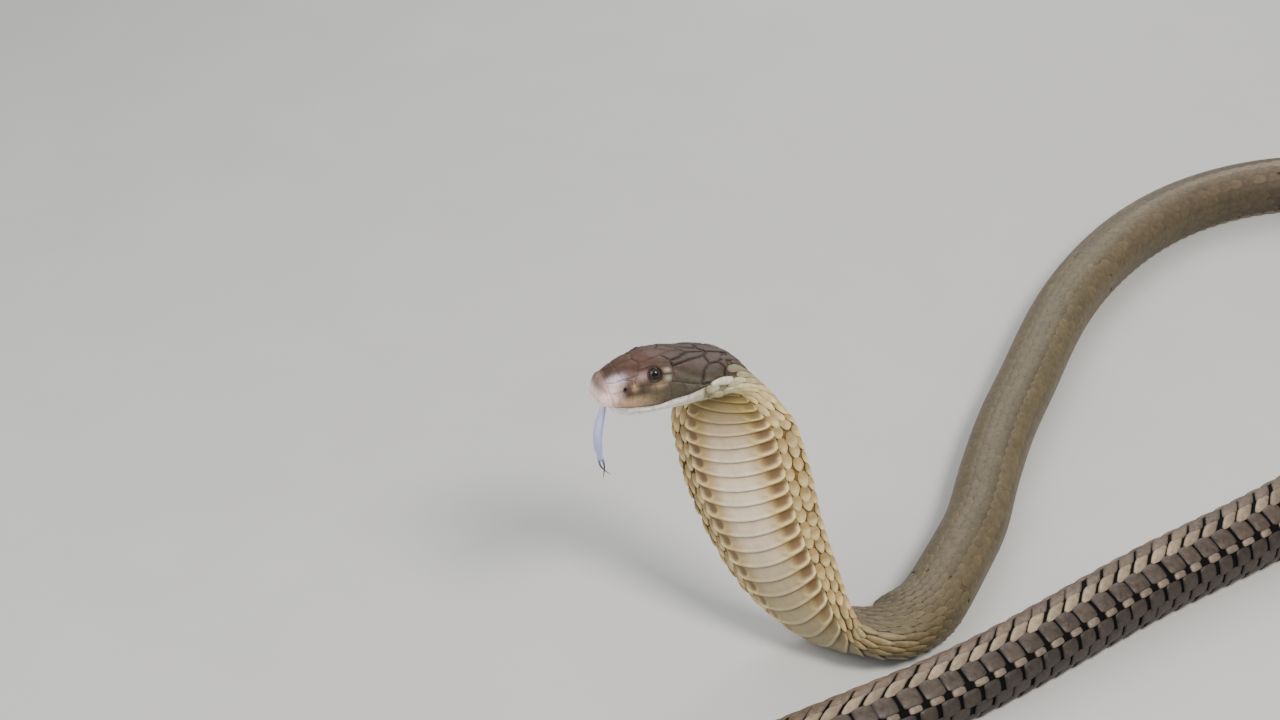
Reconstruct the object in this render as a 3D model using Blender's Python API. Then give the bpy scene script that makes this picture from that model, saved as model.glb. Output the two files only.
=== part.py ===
import bpy
import bmesh
import math
import numpy as np
from mathutils import Matrix

# King cobra, rearing with its hood spread, modelled as one still life-size animal.
# All sizes are in millimetres. The route of the body is given in a working frame
# with the floor at z = 0. CENTRE moves it so the model's box is centred on the axes.
NAME = "king_cobra"
CENTRE = (89.0, 131.0)
MM = 0.001
GAP = 0.3

# Head: the length of its straight part, where that ends and which way it looks.
# Tables run back from the snout; heights are from the middle line of the head.
# BROW is its place, length, angle round the head and width; LIP its angle and width.
HEAD_STRAIGHT = 60.0
HEAD_BEND = (-17.8, -15.4, 160.5)
HEAD_END = 10.0
HEAD_YAW = 24.0
HEAD_PITCH = 5.0
HEAD_AT = (0, 2, 5, 10, 16, 22, 28, 36, 44, 52, 60)
HEAD_WIDTH = (4.6, 6.8, 8.7, 10.5, 11.9, 13.0, 14.3, 16.4, 18.6, 19.2, 18.0)
HEAD_TOP = (1.6, 4.8, 7.4, 9.8, 11.4, 12.6, 13.3, 12.9, 11.4, 9.4, 8.6)
MOUTH_LINE = (-6.2, -7.3, -8.0, -8.2, -8.1, -8.0, -7.2, -3.8, -0.8, 2.2, 3.0)
JAW_AT = (8.2, 9.5, 12, 16, 22, 30, 44, 56)
JAW_LOW = (-11.2, -13.6, -15.2, -15.9, -15.6, -14.6, -13.0, -12.0)
JAW_CORNER = 55.0
JAW_FRONT = 8.2
JAW_ROUND = 17.0
JAW_INSET = 0.8
SNOUT_TIP = -2.6
LIP_ANGLE = 100.0
HEAD_SQUARE = 0.62
BROW = (25.0, 8.0, 36.0, 9.0)
BROW_OUT = 0.9
BROW_UP = 0.6
LIP = (84.0, 6.0)
LIP_OUT = 0.5
LIP_START = 8.0
EYE = (27.0, 10.2, 7.8)
EYE_RADIUS = 3.6
NOSTRIL = (12.0, 9.6, 1.4)
NOSTRIL_RADII = (1.2, 0.96, 1.6)
HEAD_RINGS = (
    0.3, 1.0, 2.2, 4.0, 6.5, 9.5, 13.0, 16.5, 20.0, 23.0, 26.0, 29.0, 32.5, 37.0, 42.0, 47.0, 51.5)
NAPE_RINGS = (58.0, 61.0, 63.5, 65.5, 67.5)
JAW_RINGS = (8.7, 9.6, 11.0, 13.0, 16.0, 20.0, 25.0, 30.0, 35.0, 41.0, 47.0, 51.5)
TONGUE_BACK = 6.6
TONGUE = (
    (-69.2, -39.4, 147.4), (-70.6, -40.2, 139.0), (-70.7, -40.4, 130.5), (-69.4, -40.0, 122.0))
TONGUE_TIPS = ((-68.4, -43.2, 113.0), (-64.4, -38.4, 112.0))
TONGUE_HALF_WIDTH = 2.2
TONGUE_HALF_THICKNESS = 0.75
TONGUE_RINGS = 11
TONGUE_END_WIDTH = 0.85
TINE_RINGS = 7
TINE_ROOT = (2.0, 0.75)
TINE_BEND = (3.0, 1.1)
TINE_SIZE = (0.42, 0.83)
TINE_POINT = 0.16

# Route of the spine: the reared part (x, y, z), then the parts on the floor (x, y).
REARED = (
    (-8.4, -11.4, 156.4), (-5.2, -10.8, 147.5), (-4.4, -13.0, 135.0), (-0.6, -16.5, 117.5),
    (5.4, -21.0, 96.0), (13.0, -27.0, 74.0), (22.5, -33.0, 54.0), (33.0, -38.0, 37.0),
    (45.0, -41.5, 24.0), (59.0, -43.0, 17.0))
FRONT_RUN = (
    (76.0, -43.5), (97.5, -28.5), (113.0, -2.5), (126.0, 25.0),
    (138.0, 53.0), (147.0, 83.0), (157.0, 115.0), (169.0, 149.0))
BACK_LOOP = (
    (186.0, 190.0), (216.0, 262.0), (262.0, 342.0), (332.0, 414.0), (424.0, 448.0),
    (512.0, 426.0), (574.0, 352.0), (586.0, 254.0), (534.0, 176.0), (456.0, 138.0), (374.0, 100.0))
REAR_RUN = ((296.0, 46.0), (228.0, 1.0), (167.0, -44.0), (113.0, -82.0), (64.0, -110.0))
TAIL_RUN = (
    (0.0, -143.0), (-74.0, -174.0), (-160.0, -192.0), (-250.0, -196.0),
    (-332.0, -182.0), (-396.0, -138.0), (-426.0, -72.0), (-430.0, 0.0))

# Half width of the body against distance behind the head, and the tail's taper.
WIDTH_AT = (0, 10, 20, 32, 45, 72, 110, 140, 170, 200, 230, 320, 700, 1100, 1420, 1640, 1760)
WIDTH = (18.0, 17.5, 22, 30, 34.5, 35.5, 32.5, 28.5, 24, 20.2, 18.2, 17.4, 19, 21.2, 20, 18.2, 17.6)
TAIL_LENGTH = 520.0
TAIL_ROOT_WIDTH = 15.0
TAIL_TIP_WIDTH = 1.6
TAIL_TAPER = 0.9
TAIL_NODES_END = 12.0
TAIL_LAST_RINGS = (5.0, 1.5)

# Height of the back and depth of the belly from the spine. Where the body lies on the
# floor they are shares of its half width.
DEPTH_AT = (0, 10, 35, 80, 140, 190, 240, 300)
BACK_HEIGHT = (8.6, 9.0, 9.0, 8.5, 9.0, 12.0, 14.0, 14.0)
BELLY_DEPTH = (11.5, 9.0, 10.5, 12.0, 12.0, 13.0, 14.0, 14.0)
FLOOR_BACK = 0.86
FLOOR_BELLY = 0.79
FLOOR_SPINE = 17.0

# Where the reared part settles into the body's section and comes down on the floor,
# and where the hood turns from the head's upright to the way its back faces.
SETTLE = (200.0, 300.0)
LANDING = (205.0, 236.0)
HEAD_TURN = 6.0
HOOD_TURN = (2.0, 38.0)
HOOD_RETURN = (120.0, 236.0)
HOOD_BACK = (0.38, 0.92, 0.08)
TANGENT_STEP = 1.5

# How much of the section is spread hood, against distance behind the head.
HOOD_AT = (8, 22, 45, 140, 222, 240)
HOOD_AMOUNT = (0.0, 0.6, 1.0, 0.95, 0.0, 0.0)
HOOD_CURL = 1.0
FLAP_HALF = 3.0
RIDGE_WIDTH = 0.42
KEEL_WIDTH = 0.92

# Section of the body outside the hood: how square it is and how flat the belly is.
ROUNDNESS = 0.9
BELLY_FLATTEN = 1.28

# Plates under the hood and neck: each one's length, how far its front and rear edges
# stand up, its sunken step and where its side edge fades, in degrees from the back.
PLATE_LENGTH = 8.4
PLATE_FRONT = 0.05
PLATE_RISE = 0.8
PLATE_STEP = 0.35
PLATE_SIDE = 118.0
PLATE_FADE = 16.0
THROAT_RINGS = (0.0, 2.5, 5.0, 7.5)
THROAT_LENGTH = 9.5

# The hood and two lengths of neck, then the parts of the body behind them:
# name, number of nodes and where each part ends.
HOOD_END = 139.6
NECK_MIDDLE = 190.0
NECK_END = 248.8
PARTS = (("fore_body", 2, 640.0), ("mid_body", 6, 1440.0), ("rear_body", 2, 1884.0))
TAIL_NODES = 4
RING_SPACING = 17.0
RING_POINTS = 20
HOOD_POINTS = 36
HEAD_POINTS = 36
JAW_POINTS = 24
TAIL_POINTS = 14
RIBBON_POINTS = 10

# Materials: colour, roughness.
BROWN = ((0.19, 0.12, 0.08, 1.0), 0.45)
CREAM = ((0.62, 0.52, 0.36, 1.0), 0.5)
OLIVE = ((0.20, 0.16, 0.09, 1.0), 0.5)
BANDED = ((0.30, 0.24, 0.18, 1.0), 0.5)
EYE_BLACK = ((0.01, 0.008, 0.006, 1.0), 0.08)
VIOLET = ((0.52, 0.52, 0.85, 1.0), 0.35)


def smooth_table(at, xs, ys):
    """Value of a table at the given places, smooth and without overshoot."""
    xs = np.asarray(xs, float)
    ys = np.asarray(ys, float)
    at = np.clip(np.asarray(at, float), xs[0], xs[-1])
    step = np.diff(xs)
    rise = np.diff(ys) / step
    slope = np.zeros(len(xs))
    same = rise[1:] * rise[:-1] > 0
    mean = 2 * rise[1:] * rise[:-1] / np.where(same, rise[1:] + rise[:-1], 1.0)
    slope[1:-1] = np.where(same, mean, 0.0)
    slope[0] = rise[0]
    slope[-1] = rise[-1]
    i = np.clip(np.searchsorted(xs, at, side="right") - 1, 0, len(xs) - 2)
    t = (at - xs[i]) / step[i]
    h00 = (1 + 2 * t) * (1 - t) ** 2
    h10 = t * (1 - t) ** 2
    h01 = t * t * (3 - 2 * t)
    h11 = t * t * (t - 1)
    return h00 * ys[i] + h10 * step[i] * slope[i] + h01 * ys[i + 1] + h11 * step[i] * slope[i + 1]


def smoothstep(at, start, end):
    t = np.clip((np.asarray(at, float) - start) / (end - start), 0.0, 1.0)
    return t * t * (3 - 2 * t)


def unit(v):
    v = np.asarray(v, float)
    return v / np.linalg.norm(v, axis=-1, keepdims=True)


def head_axes():
    """Forward, right and up of the head."""
    yaw = math.radians(HEAD_YAW)
    pitch = math.radians(HEAD_PITCH)
    flat = math.cos(pitch)
    forward = np.array([-math.cos(yaw) * flat, -math.sin(yaw) * flat, math.sin(pitch)])
    up = np.array([0.0, 0.0, 1.0])
    up = unit(up - (up @ forward) * forward)
    right = np.cross(forward, up)
    return forward, right, up


def spline(points, start_slope):
    """Dense samples of a cubic curve through the points, with its start direction given."""
    p = np.asarray(points, float)
    n = len(p)
    h = np.linalg.norm(np.diff(p, axis=0), axis=1)
    m = np.zeros((n, n))
    r = np.zeros((n, 3))
    m[0, 0] = 2 * h[0]
    m[0, 1] = h[0]
    r[0] = 6 * ((p[1] - p[0]) / h[0] - start_slope)
    m[-1, -1] = 1.0
    for k in range(1, n - 1):
        m[k, k - 1] = h[k - 1]
        m[k, k] = 2 * (h[k - 1] + h[k])
        m[k, k + 1] = h[k]
        r[k] = 6 * ((p[k + 1] - p[k]) / h[k] - (p[k] - p[k - 1]) / h[k - 1])
    c = np.linalg.solve(m, r)
    out = []
    for k in range(n - 1):
        count = max(8, int(h[k] * 2))
        t = (np.arange(count) / count * h[k])[:, None]
        back = h[k] - t
        a = (c[k] * back ** 3 + c[k + 1] * t ** 3) / (6 * h[k])
        b = (p[k] / h[k] - c[k] * h[k] / 6) * back + (p[k + 1] / h[k] - c[k + 1] * h[k] / 6) * t
        out.append(a + b)
    out.append(p[-1:])
    return np.concatenate(out)


def route():
    """The spine from the back of the head to the tail tip, sampled by length."""
    low = [(x, y, FLOOR_SPINE) for x, y in FRONT_RUN + BACK_LOOP + REAR_RUN + TAIL_RUN]
    points = [HEAD_BEND] + list(REARED) + low
    forward, right, up = head_axes()
    dense = spline(points, -forward)
    s = np.concatenate([[0.0], np.cumsum(np.linalg.norm(np.diff(dense, axis=0), axis=1))])
    return s, dense


ROUTE_S, ROUTE_P = route()
LENGTH = float(ROUTE_S[-1])
TAIL_START = LENGTH - TAIL_LENGTH


def half_width(s):
    body = smooth_table(s, WIDTH_AT + (TAIL_START,), WIDTH + (TAIL_ROOT_WIDTH,))
    part = np.clip((np.asarray(s, float) - TAIL_START) / TAIL_LENGTH, 0.0, 1.0)
    tail = TAIL_ROOT_WIDTH + (TAIL_TIP_WIDTH - TAIL_ROOT_WIDTH) * part ** TAIL_TAPER
    return np.where(np.asarray(s) > TAIL_START, tail, body)


def heights(s):
    """Height of the back and depth of the belly from the spine."""
    a = half_width(s)
    top = smooth_table(s, DEPTH_AT, BACK_HEIGHT)
    low = smooth_table(s, DEPTH_AT, BELLY_DEPTH)
    floor = smoothstep(s, *SETTLE)
    return top * (1 - floor) + FLOOR_BACK * a * floor, low * (1 - floor) + FLOOR_BELLY * a * floor


def route_point(s):
    return np.stack([np.interp(s, ROUTE_S, ROUTE_P[:, k]) for k in range(3)], axis=1)


def spine(s):
    """Place, tailward direction and back direction of the spine."""
    s = np.atleast_1d(np.asarray(s, float))
    p = route_point(s)
    on_floor = smoothstep(s, *LANDING)
    p[:, 2] = p[:, 2] * (1 - on_floor) + heights(s)[1] * on_floor
    t = route_point(s + TANGENT_STEP) - route_point(s - TANGENT_STEP)
    t[:, 2] *= 1 - on_floor
    t = unit(t)
    forward, right, up = head_axes()
    start = (1 - smoothstep(s, 0.0, HEAD_TURN))[:, None]
    t = unit(t * (1 - start) - forward * start)
    spread = (smoothstep(s, *HOOD_TURN) * (1 - smoothstep(s, *HOOD_RETURN)))[:, None]
    upright = up * start + np.array([0.0, 0.0, 1.0]) * (1 - start)
    back = unit(upright * (1 - spread) + np.array(HOOD_BACK) * spread)
    back = unit(back - np.sum(back * t, axis=1, keepdims=True) * t)
    return p, t, back


def section(s, angle):
    """Ring of the body at s. Angle 0 is the middle of the back, pi the middle of the belly."""
    a = float(half_width(s))
    top, low = [float(v) for v in heights(s)]
    amount = float(smooth_table(s, HOOD_AT, HOOD_AMOUNT))
    q = np.sin(angle)
    c = np.cos(angle)
    x = a * np.sign(q) * np.abs(q) ** ROUNDNESS
    round_part = np.abs(c) ** ROUNDNESS
    loaf = np.where(c > 0, top * round_part, -low * np.minimum(1.0, BELLY_FLATTEN * round_part))
    u = np.clip(x / a, -1, 1)
    rim = FLAP_HALF * np.sqrt(np.clip(1 - u ** 4, 0, 1))
    over = rim + (top - FLAP_HALF) * np.exp(-(u / RIDGE_WIDTH) ** 2)
    under = rim + (low - FLAP_HALF) * np.clip(1 - np.abs(u / KEEL_WIDTH) ** 2, 0, 1)
    spread = np.where(c > 0, over, -under) - HOOD_CURL * np.abs(u) ** 2.2
    return x, loaf * (1 - amount) + spread * amount


def ring(s, angle, lift=None):
    x, y = section(s, angle)
    if lift is not None:
        y = y - lift
    p, t, back = spine(s)
    side = np.cross(back, t)
    pts = p + x[:, None] * side + y[:, None] * back
    pts[:, 2] = np.maximum(pts[:, 2], 0.0)
    return pts


def ring_angles(count):
    return -math.pi + 2 * math.pi * (np.arange(count) + 0.5) / count


def skin_material(name, finish):
    """Plain material with a colour and a roughness."""
    colour, roughness = finish
    material = bpy.data.materials.new(name)
    material.use_nodes = True
    shader = material.node_tree.nodes["Principled BSDF"]
    shader.inputs["Base Color"].default_value = colour
    shader.inputs["Roughness"].default_value = roughness
    shader.inputs["Metallic"].default_value = 0.0
    return material


def solid(name, material, rings, front=None, rear=None, place=None):
    """Closed solid lofted through rings of points, with a fan of triangles over each end."""
    rings = [np.asarray(r, float) for r in rings]
    front = rings[0].mean(0) if front is None else front
    rear = rings[-1].mean(0) if rear is None else rear
    shape = bmesh.new()
    rows = [[shape.verts.new(to_model(p)) for p in r] for r in rings]
    first = shape.verts.new(to_model(front))
    last = shape.verts.new(to_model(rear))
    count = len(rows[0])
    for k in range(len(rows) - 1):
        for j in range(count):
            i = (j + 1) % count
            a, b, c, d = rows[k][j], rows[k][i], rows[k + 1][j], rows[k + 1][i]
            if (k + j) % 2:
                shape.faces.new((a, c, b))
                shape.faces.new((b, c, d))
            else:
                shape.faces.new((a, c, d))
                shape.faces.new((a, d, b))
    for j in range(count):
        i = (j + 1) % count
        shape.faces.new((first, rows[0][j], rows[0][i]))
        shape.faces.new((last, rows[-1][i], rows[-1][j]))
    return finish_object(name, material, shape, place or model)


def to_model(p):
    return ((p[0] - CENTRE[0]) * MM, (p[1] - CENTRE[1]) * MM, p[2] * MM)


def finish_object(name, material, shape, place):
    """Turns the faces outward, shades the piece smooth and puts it in its collection."""
    bmesh.ops.recalc_face_normals(shape, faces=shape.faces[:])
    mesh = bpy.data.meshes.new(name)
    shape.to_mesh(mesh)
    shape.free()
    mesh.shade_smooth()
    mesh.set_sharp_from_angle(angle=math.radians(50.0))
    mesh.materials.append(material)
    obj = bpy.data.objects.new(name, mesh)
    place.objects.link(obj)
    obj.parent = stand
    return obj


def ball(name, material, centre, axes, radii, place, around=16, rows=10):
    """Sphere or ellipsoid at a point, with its axes turned to the given directions."""
    shape = bmesh.new()
    bmesh.ops.create_uvsphere(shape, u_segments=around, v_segments=rows, radius=1.0)
    bmesh.ops.scale(shape, vec=[r * MM for r in radii], verts=shape.verts[:])
    obj = finish_object(name, material, shape, place)
    turn = Matrix([list(a) for a in axes]).transposed().to_4x4()
    obj.matrix_world = Matrix.Translation(to_model(centre)) @ turn
    return obj


def combine(target, others, operation):
    """Boolean of the target with each of the others, which are only guides."""
    for other in others:
        other.hide_render = True
        other.display_type = "WIRE"
        modifier = target.modifiers.new(other.name, "BOOLEAN")
        modifier.operation = operation
        modifier.solver = "EXACT"
        modifier.object = other


def head_place(back):
    """Middle of the head at a distance back from the snout, with its right and up."""
    forward, right, up = head_axes()
    if back <= HEAD_STRAIGHT:
        return np.array(HEAD_BEND) + forward * (HEAD_STRAIGHT - back), right, up
    p, t, rise = spine(back - HEAD_STRAIGHT)
    return p[0], np.cross(rise, t)[0], rise[0]


def head_point(back, x, y):
    p, right, up = head_place(back)
    return p + right * x + up * y


def head_profile(back, angle):
    """Upper outline of the head, from the crown at angle 0 to the lip at LIP_ANGLE."""
    w = float(smooth_table(back, HEAD_AT, HEAD_WIDTH))
    top = float(smooth_table(back, HEAD_AT, HEAD_TOP))
    lip = float(smooth_table(back, HEAD_AT, MOUTH_LINE))
    turn = np.minimum(np.abs(angle) / math.radians(LIP_ANGLE), 1.0) * math.pi / 2
    x = w * np.sin(turn) ** HEAD_SQUARE
    y = lip + (top - lip) * np.clip(np.cos(turn), 0, 1) ** HEAD_SQUARE
    degrees = np.degrees(turn)
    brow = math.exp(-((back - BROW[0]) / BROW[1]) ** 2) * np.exp(-((degrees - BROW[2]) / BROW[3]) ** 2)
    lips = min(1.0, back / LIP_START) * np.exp(-((degrees - LIP[0]) / LIP[1]) ** 2)
    x = x + BROW_OUT * brow + LIP_OUT * lips
    y = y + BROW_UP * brow
    under = np.abs(angle) > math.radians(LIP_ANGLE)
    share = (math.pi - np.abs(angle)) / math.radians(180.0 - LIP_ANGLE)
    x = np.where(under, w * share, x)
    y = np.where(under, lip, y)
    return x * np.sign(angle), y


def head_ring(back, angle):
    """Ring of the head. Behind the corner of the mouth the throat is part of it."""
    x, y = head_profile(back, angle)
    if back > JAW_CORNER:
        s = back - HEAD_STRAIGHT
        body_x, body_y = section(max(s, 0.0), angle)
        blend = float(smoothstep(back, JAW_CORNER, HEAD_STRAIGHT + HEAD_END))
        under = np.abs(angle) > math.radians(90.0)
        lip = float(smooth_table(back, HEAD_AT, MOUTH_LINE))
        w = float(smooth_table(back, HEAD_AT, HEAD_WIDTH))
        side = np.clip((np.abs(angle) - math.pi / 2) / math.radians(10.0), 0.0, 1.0)
        x = x * (1 - blend) + body_x * blend
        y = y * (1 - blend) + body_y * blend
        low = float(smooth_table(back, JAW_AT, JAW_LOW))
        throat_x = w * np.sign(angle) * np.abs(np.sin(angle)) ** 0.8
        throat_y = lip + (low - lip) * np.abs(np.cos(angle)) ** 0.8
        throat_x = throat_x * (1 - blend) + body_x * blend
        throat_y = throat_y * (1 - blend) + body_y * blend
        x = np.where(under, x * (1 - side) + throat_x * side, x)
        y = np.where(under, y * (1 - side) + throat_y * side, y)
    p, right, up = head_place(back)
    return p + x[:, None] * right + y[:, None] * up


def build_head():
    """Head with the eye sockets and nostrils cut into it, and the two eyes."""
    angle = ring_angles(HEAD_POINTS)
    places = HEAD_RINGS + (JAW_CORNER, JAW_CORNER + GAP) + NAPE_RINGS + (HEAD_STRAIGHT + HEAD_END,)
    rings = [head_ring(d, angle) for d in places]
    brown = skin_material("brown_shields", BROWN)
    head = solid("head", brown, rings, front=head_point(0.0, 0.0, SNOUT_TIP))
    black = skin_material("eye", EYE_BLACK)
    forward, right, up = head_axes()
    for side, name in ((1, "right"), (-1, "left")):
        axes = (forward, up, np.cross(forward, up))
        eye = head_point(EYE[0], side * EYE[1], EYE[2])
        hole = head_point(NOSTRIL[0], side * NOSTRIL[1], NOSTRIL[2])
        socket = ball("socket_" + name, black, eye, axes, (EYE_RADIUS + GAP,) * 3, cutters)
        nostril = ball("nostril_" + name, black, hole, axes, NOSTRIL_RADII, cutters, 10, 6)
        combine(head, (socket, nostril), "DIFFERENCE")
        ball("eye_" + name, black, eye, axes, (EYE_RADIUS,) * 3, model)


def jaw_ring(back, angle):
    lip = float(smooth_table(back, HEAD_AT, MOUTH_LINE)) - GAP
    low = float(smooth_table(back, JAW_AT, JAW_LOW))
    w = float(smooth_table(back, HEAD_AT, HEAD_WIDTH)) - JAW_INSET
    w = w * math.sqrt(max(0.03, 1 - max(0.0, (JAW_ROUND - back) / (JAW_ROUND - JAW_FRONT + 0.1)) ** 2))
    under = np.abs(angle) > math.radians(90.0)
    share = np.abs(angle) / math.radians(90.0)
    x = np.where(under, w * np.abs(np.sin(angle)) ** 0.75, w * share)
    y = np.where(under, lip + (low - lip) * np.abs(np.cos(angle)) ** 0.85, lip)
    p, right, up = head_place(back)
    return p + (x * np.sign(angle))[:, None] * right + y[:, None] * up


def build_jaw():
    angle = ring_angles(JAW_POINTS)
    places = (JAW_FRONT,) + JAW_RINGS + (JAW_CORNER - GAP,)
    solid("lower_jaw", skin_material("cream_jaw", CREAM), [jaw_ring(d, angle) for d in places])


def ribbon(name, material, path, widths, thicknesses, place):
    """Flat tapering strip along a path, its width lying across the head."""
    across = head_axes()[1]
    angle = ring_angles(RIBBON_POINTS)
    rings = []
    for k, p in enumerate(path):
        ahead = unit(path[min(k + 1, len(path) - 1)] - path[max(k - 1, 0)])
        thick = unit(np.cross(ahead, across))
        wide = np.cross(thick, ahead)
        x = widths[k] * np.cos(angle)[:, None]
        y = thicknesses[k] * np.sin(angle)[:, None]
        rings.append(p + x * wide + y * thick)
    return solid(name, material, rings, place=place)


def along(points, start, count):
    """Places spread evenly along a smooth curve through a few points."""
    line = spline(points, start)
    return line[np.linspace(0, len(line) - 1, count).astype(int)]


def build_tongue():
    """A ribbon that hangs from the front of the mouth and splits into two tips."""
    violet = skin_material("tongue", VIOLET)
    across = head_axes()[1]
    lip = float(smooth_table(TONGUE_BACK, HEAD_AT, MOUTH_LINE))
    root = head_point(TONGUE_BACK, 0.0, lip - GAP)
    stem = np.array((tuple(root),) + TONGUE)
    path = along(stem, unit(stem[1] - stem[0]), TONGUE_RINGS)
    width = TONGUE_HALF_WIDTH * np.linspace(1.0, TONGUE_END_WIDTH, TONGUE_RINGS)
    thick = TONGUE_HALF_THICKNESS * np.ones(TONGUE_RINGS)
    tongue = ribbon("tongue", violet, path, width, thick, model)
    fall = unit(path[-1] - path[-2])
    taper = np.linspace(1.0, TINE_POINT, TINE_RINGS)
    for side, tip, name in zip((-1, 1), TONGUE_TIPS, ("left", "right")):
        root = path[-1] - TINE_ROOT[0] * fall + TINE_ROOT[1] * side * across
        bend = path[-1] + TINE_BEND[0] * fall + TINE_BEND[1] * side * across
        tine_path = along([root, bend, np.array(tip)], fall, TINE_RINGS)
        width = TINE_SIZE[0] * TONGUE_HALF_WIDTH * taper
        thick = TINE_SIZE[1] * TONGUE_HALF_THICKNESS * taper
        tine = ribbon("tongue_tip_" + name, violet, tine_path, width, thick, cutters)
        combine(tongue, (tine,), "UNION")


def body_places(start, end):
    count = max(2, int(round((end - start) / RING_SPACING)) + 1)
    return np.linspace(start, end, count)


def plate_rings(start, end, angle):
    """Rings with raised ventral plates: each plate rises to its rear edge, then steps down."""
    shape = np.clip((np.degrees(np.abs(angle)) - PLATE_SIDE) / PLATE_FADE, 0.0, 1.0)
    rings = []
    edge = start
    while edge < end - 1.0:
        stop = min(edge + PLATE_LENGTH, end)
        rings.append(ring(edge + PLATE_STEP, angle, PLATE_FRONT * shape))
        rings.append(ring(stop, angle, PLATE_RISE * shape))
        edge = stop
    return rings


def build_body():
    """Hood and neck with their plates, then the long body and the tail in lengths."""
    cream = skin_material("cream_plates", CREAM)
    olive = skin_material("olive_scales", OLIVE)
    banded = skin_material("banded_scales", BANDED)
    angle = ring_angles(HOOD_POINTS)
    start = HEAD_END + GAP
    rings = [ring(start + step, angle) for step in THROAT_RINGS]
    rings += plate_rings(start + THROAT_LENGTH, HOOD_END - GAP, angle)
    solid("hood", cream, rings)
    solid("neck_1", cream, plate_rings(HOOD_END, NECK_MIDDLE - GAP, angle))
    solid("neck_2", olive, plate_rings(NECK_MIDDLE, NECK_END - GAP, angle))
    angle = ring_angles(RING_POINTS)
    begin = NECK_END
    for name, count, stop in PARTS:
        length = (stop - begin) / count
        material = banded if name == "rear_body" else olive
        for k in range(count):
            a = begin + k * length
            places = body_places(a, a + length - GAP)
            solid("%s_%d" % (name, k + 1), material, [ring(s, angle) for s in places])
        begin = stop
    angle = ring_angles(TAIL_POINTS)
    length = (LENGTH - TAIL_NODES_END - begin) / TAIL_NODES
    for k in range(TAIL_NODES):
        a = begin + k * length
        places = list(body_places(a, a + length - GAP))
        if k == TAIL_NODES - 1:
            places += [LENGTH - rest for rest in TAIL_LAST_RINGS]
        solid("tail_%d" % (k + 1), banded, [ring(s, angle) for s in places])


for old in list(bpy.data.objects):
    bpy.data.objects.remove(old, do_unlink=True)
model = bpy.data.collections.new(NAME)
cutters = bpy.data.collections.new("cutters")
bpy.context.scene.collection.children.link(model)
bpy.context.scene.collection.children.link(cutters)
stand = bpy.data.objects.new("stand", None)
model.objects.link(stand)
build_head()
build_jaw()
build_tongue()
build_body()
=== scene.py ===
import math
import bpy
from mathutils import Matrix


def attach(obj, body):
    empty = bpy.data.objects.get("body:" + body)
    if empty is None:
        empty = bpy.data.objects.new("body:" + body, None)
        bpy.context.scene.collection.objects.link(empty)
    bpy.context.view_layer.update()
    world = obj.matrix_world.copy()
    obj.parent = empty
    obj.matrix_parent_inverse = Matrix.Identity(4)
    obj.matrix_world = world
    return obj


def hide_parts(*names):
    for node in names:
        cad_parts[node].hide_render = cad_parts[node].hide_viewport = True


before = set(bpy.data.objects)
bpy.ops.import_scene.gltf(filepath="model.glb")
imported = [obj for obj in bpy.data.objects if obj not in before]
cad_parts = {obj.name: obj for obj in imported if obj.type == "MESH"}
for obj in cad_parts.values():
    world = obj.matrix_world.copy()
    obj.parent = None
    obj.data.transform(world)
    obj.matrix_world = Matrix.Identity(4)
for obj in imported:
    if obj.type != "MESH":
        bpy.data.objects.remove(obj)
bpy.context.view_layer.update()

from types import SimpleNamespace

import bpy
import numpy as np
from mathutils import Vector
from mathutils.kdtree import KDTree

# King cobra, rearing with its hood spread. One skin covers the whole animal, and closed
# scales and belly plates lie over it. All sizes are in millimetres, in the working frame
# of the solids, with the floor at z = 0. CENTRE moves it into the frame of the part.
CENTRE = np.array([89.0, 131.0, 0.0])
MM = 0.001
RANDOM = np.random.default_rng(7)
joined = np.concatenate

# Head: tables run back from the snout, heights are from the middle line of the head.
HEAD_STRAIGHT = 60
HEAD_BEND = (-17.8, -15.4, 160.5)
HEAD_END = 10
HEAD_YAW = 24
HEAD_PITCH = 5
HEAD_AT = (0, 2, 5, 10, 16, 22, 28, 36, 44, 52, 60)
HEAD_WIDTH = (4.6, 6.8, 8.7, 10.5, 11.9, 13, 14.3, 16.4, 18.6, 19.2, 18)
HEAD_TOP = (1.6, 4.8, 7.4, 9.8, 11.4, 12.7, 13.6, 13.1, 10.9, 8.4, 7.8)
MOUTH_LINE = (-5.4, -6.6, -7.4, -7.9, -8, -8, -7.2, -3.8, -0.8, 2.2, 3)
JAW_AT = (8.2, 9.5, 12, 16, 22, 30, 44, 56)
JAW_LOW = (-11.2, -13.6, -15.2, -15.9, -15.6, -14.6, -13, -12)
JAW_CORNER = 55
JAW_FRONT = 8.2
JAW_ROUND = 17
JAW_INSET = 0.8
SNOUT_TIP = -4.8
SNOUT_ROUND = 4.6
SNOUT_BLUNT = 3
SNOUT_SQUARE = 0.92
LIP_ANGLE = 100
JAW_ANGLE = 104
HEAD_SQUARE = 0.66
NAPE_ROOF = 0.16
BROW = (25, 8, 36, 9)
BROW_OUT = 0.7
BROW_UP = 0.15
LIP = (84, 6)
LIP_OUT = 0.5
LIP_START = 8
LIP_GAP = 0.3
MOUTH_DEPTH = 1.5
EYE = (27, 9.7, 8.1)
EYE_RADIUS = 3.5
EYE_LOOK = (0.93, 0.28, 0.22)
EYE_BULGE = 0.035
EYE_RINGS = 40
EYE_SIDES = 48
SOCKET_DEPTH = 1.3
LID = (3.95, 0.55)
NOSTRIL = (12, 9.6, 1.4)
NOSTRIL_DEPTH = 1.2
NOSTRIL_REACH = (0.8, 1.5, 2.2)
TONGUE_BACK = 6.6
TONGUE = (
    (-69.2, -39.4, 147.4), (-70.6, -40.2, 139), (-70.7, -40.4, 130.5), (-69.4, -40, 122))
TONGUE_TIPS = ((-68.4, -43.2, 113), (-64.4, -38.4, 112))
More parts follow.
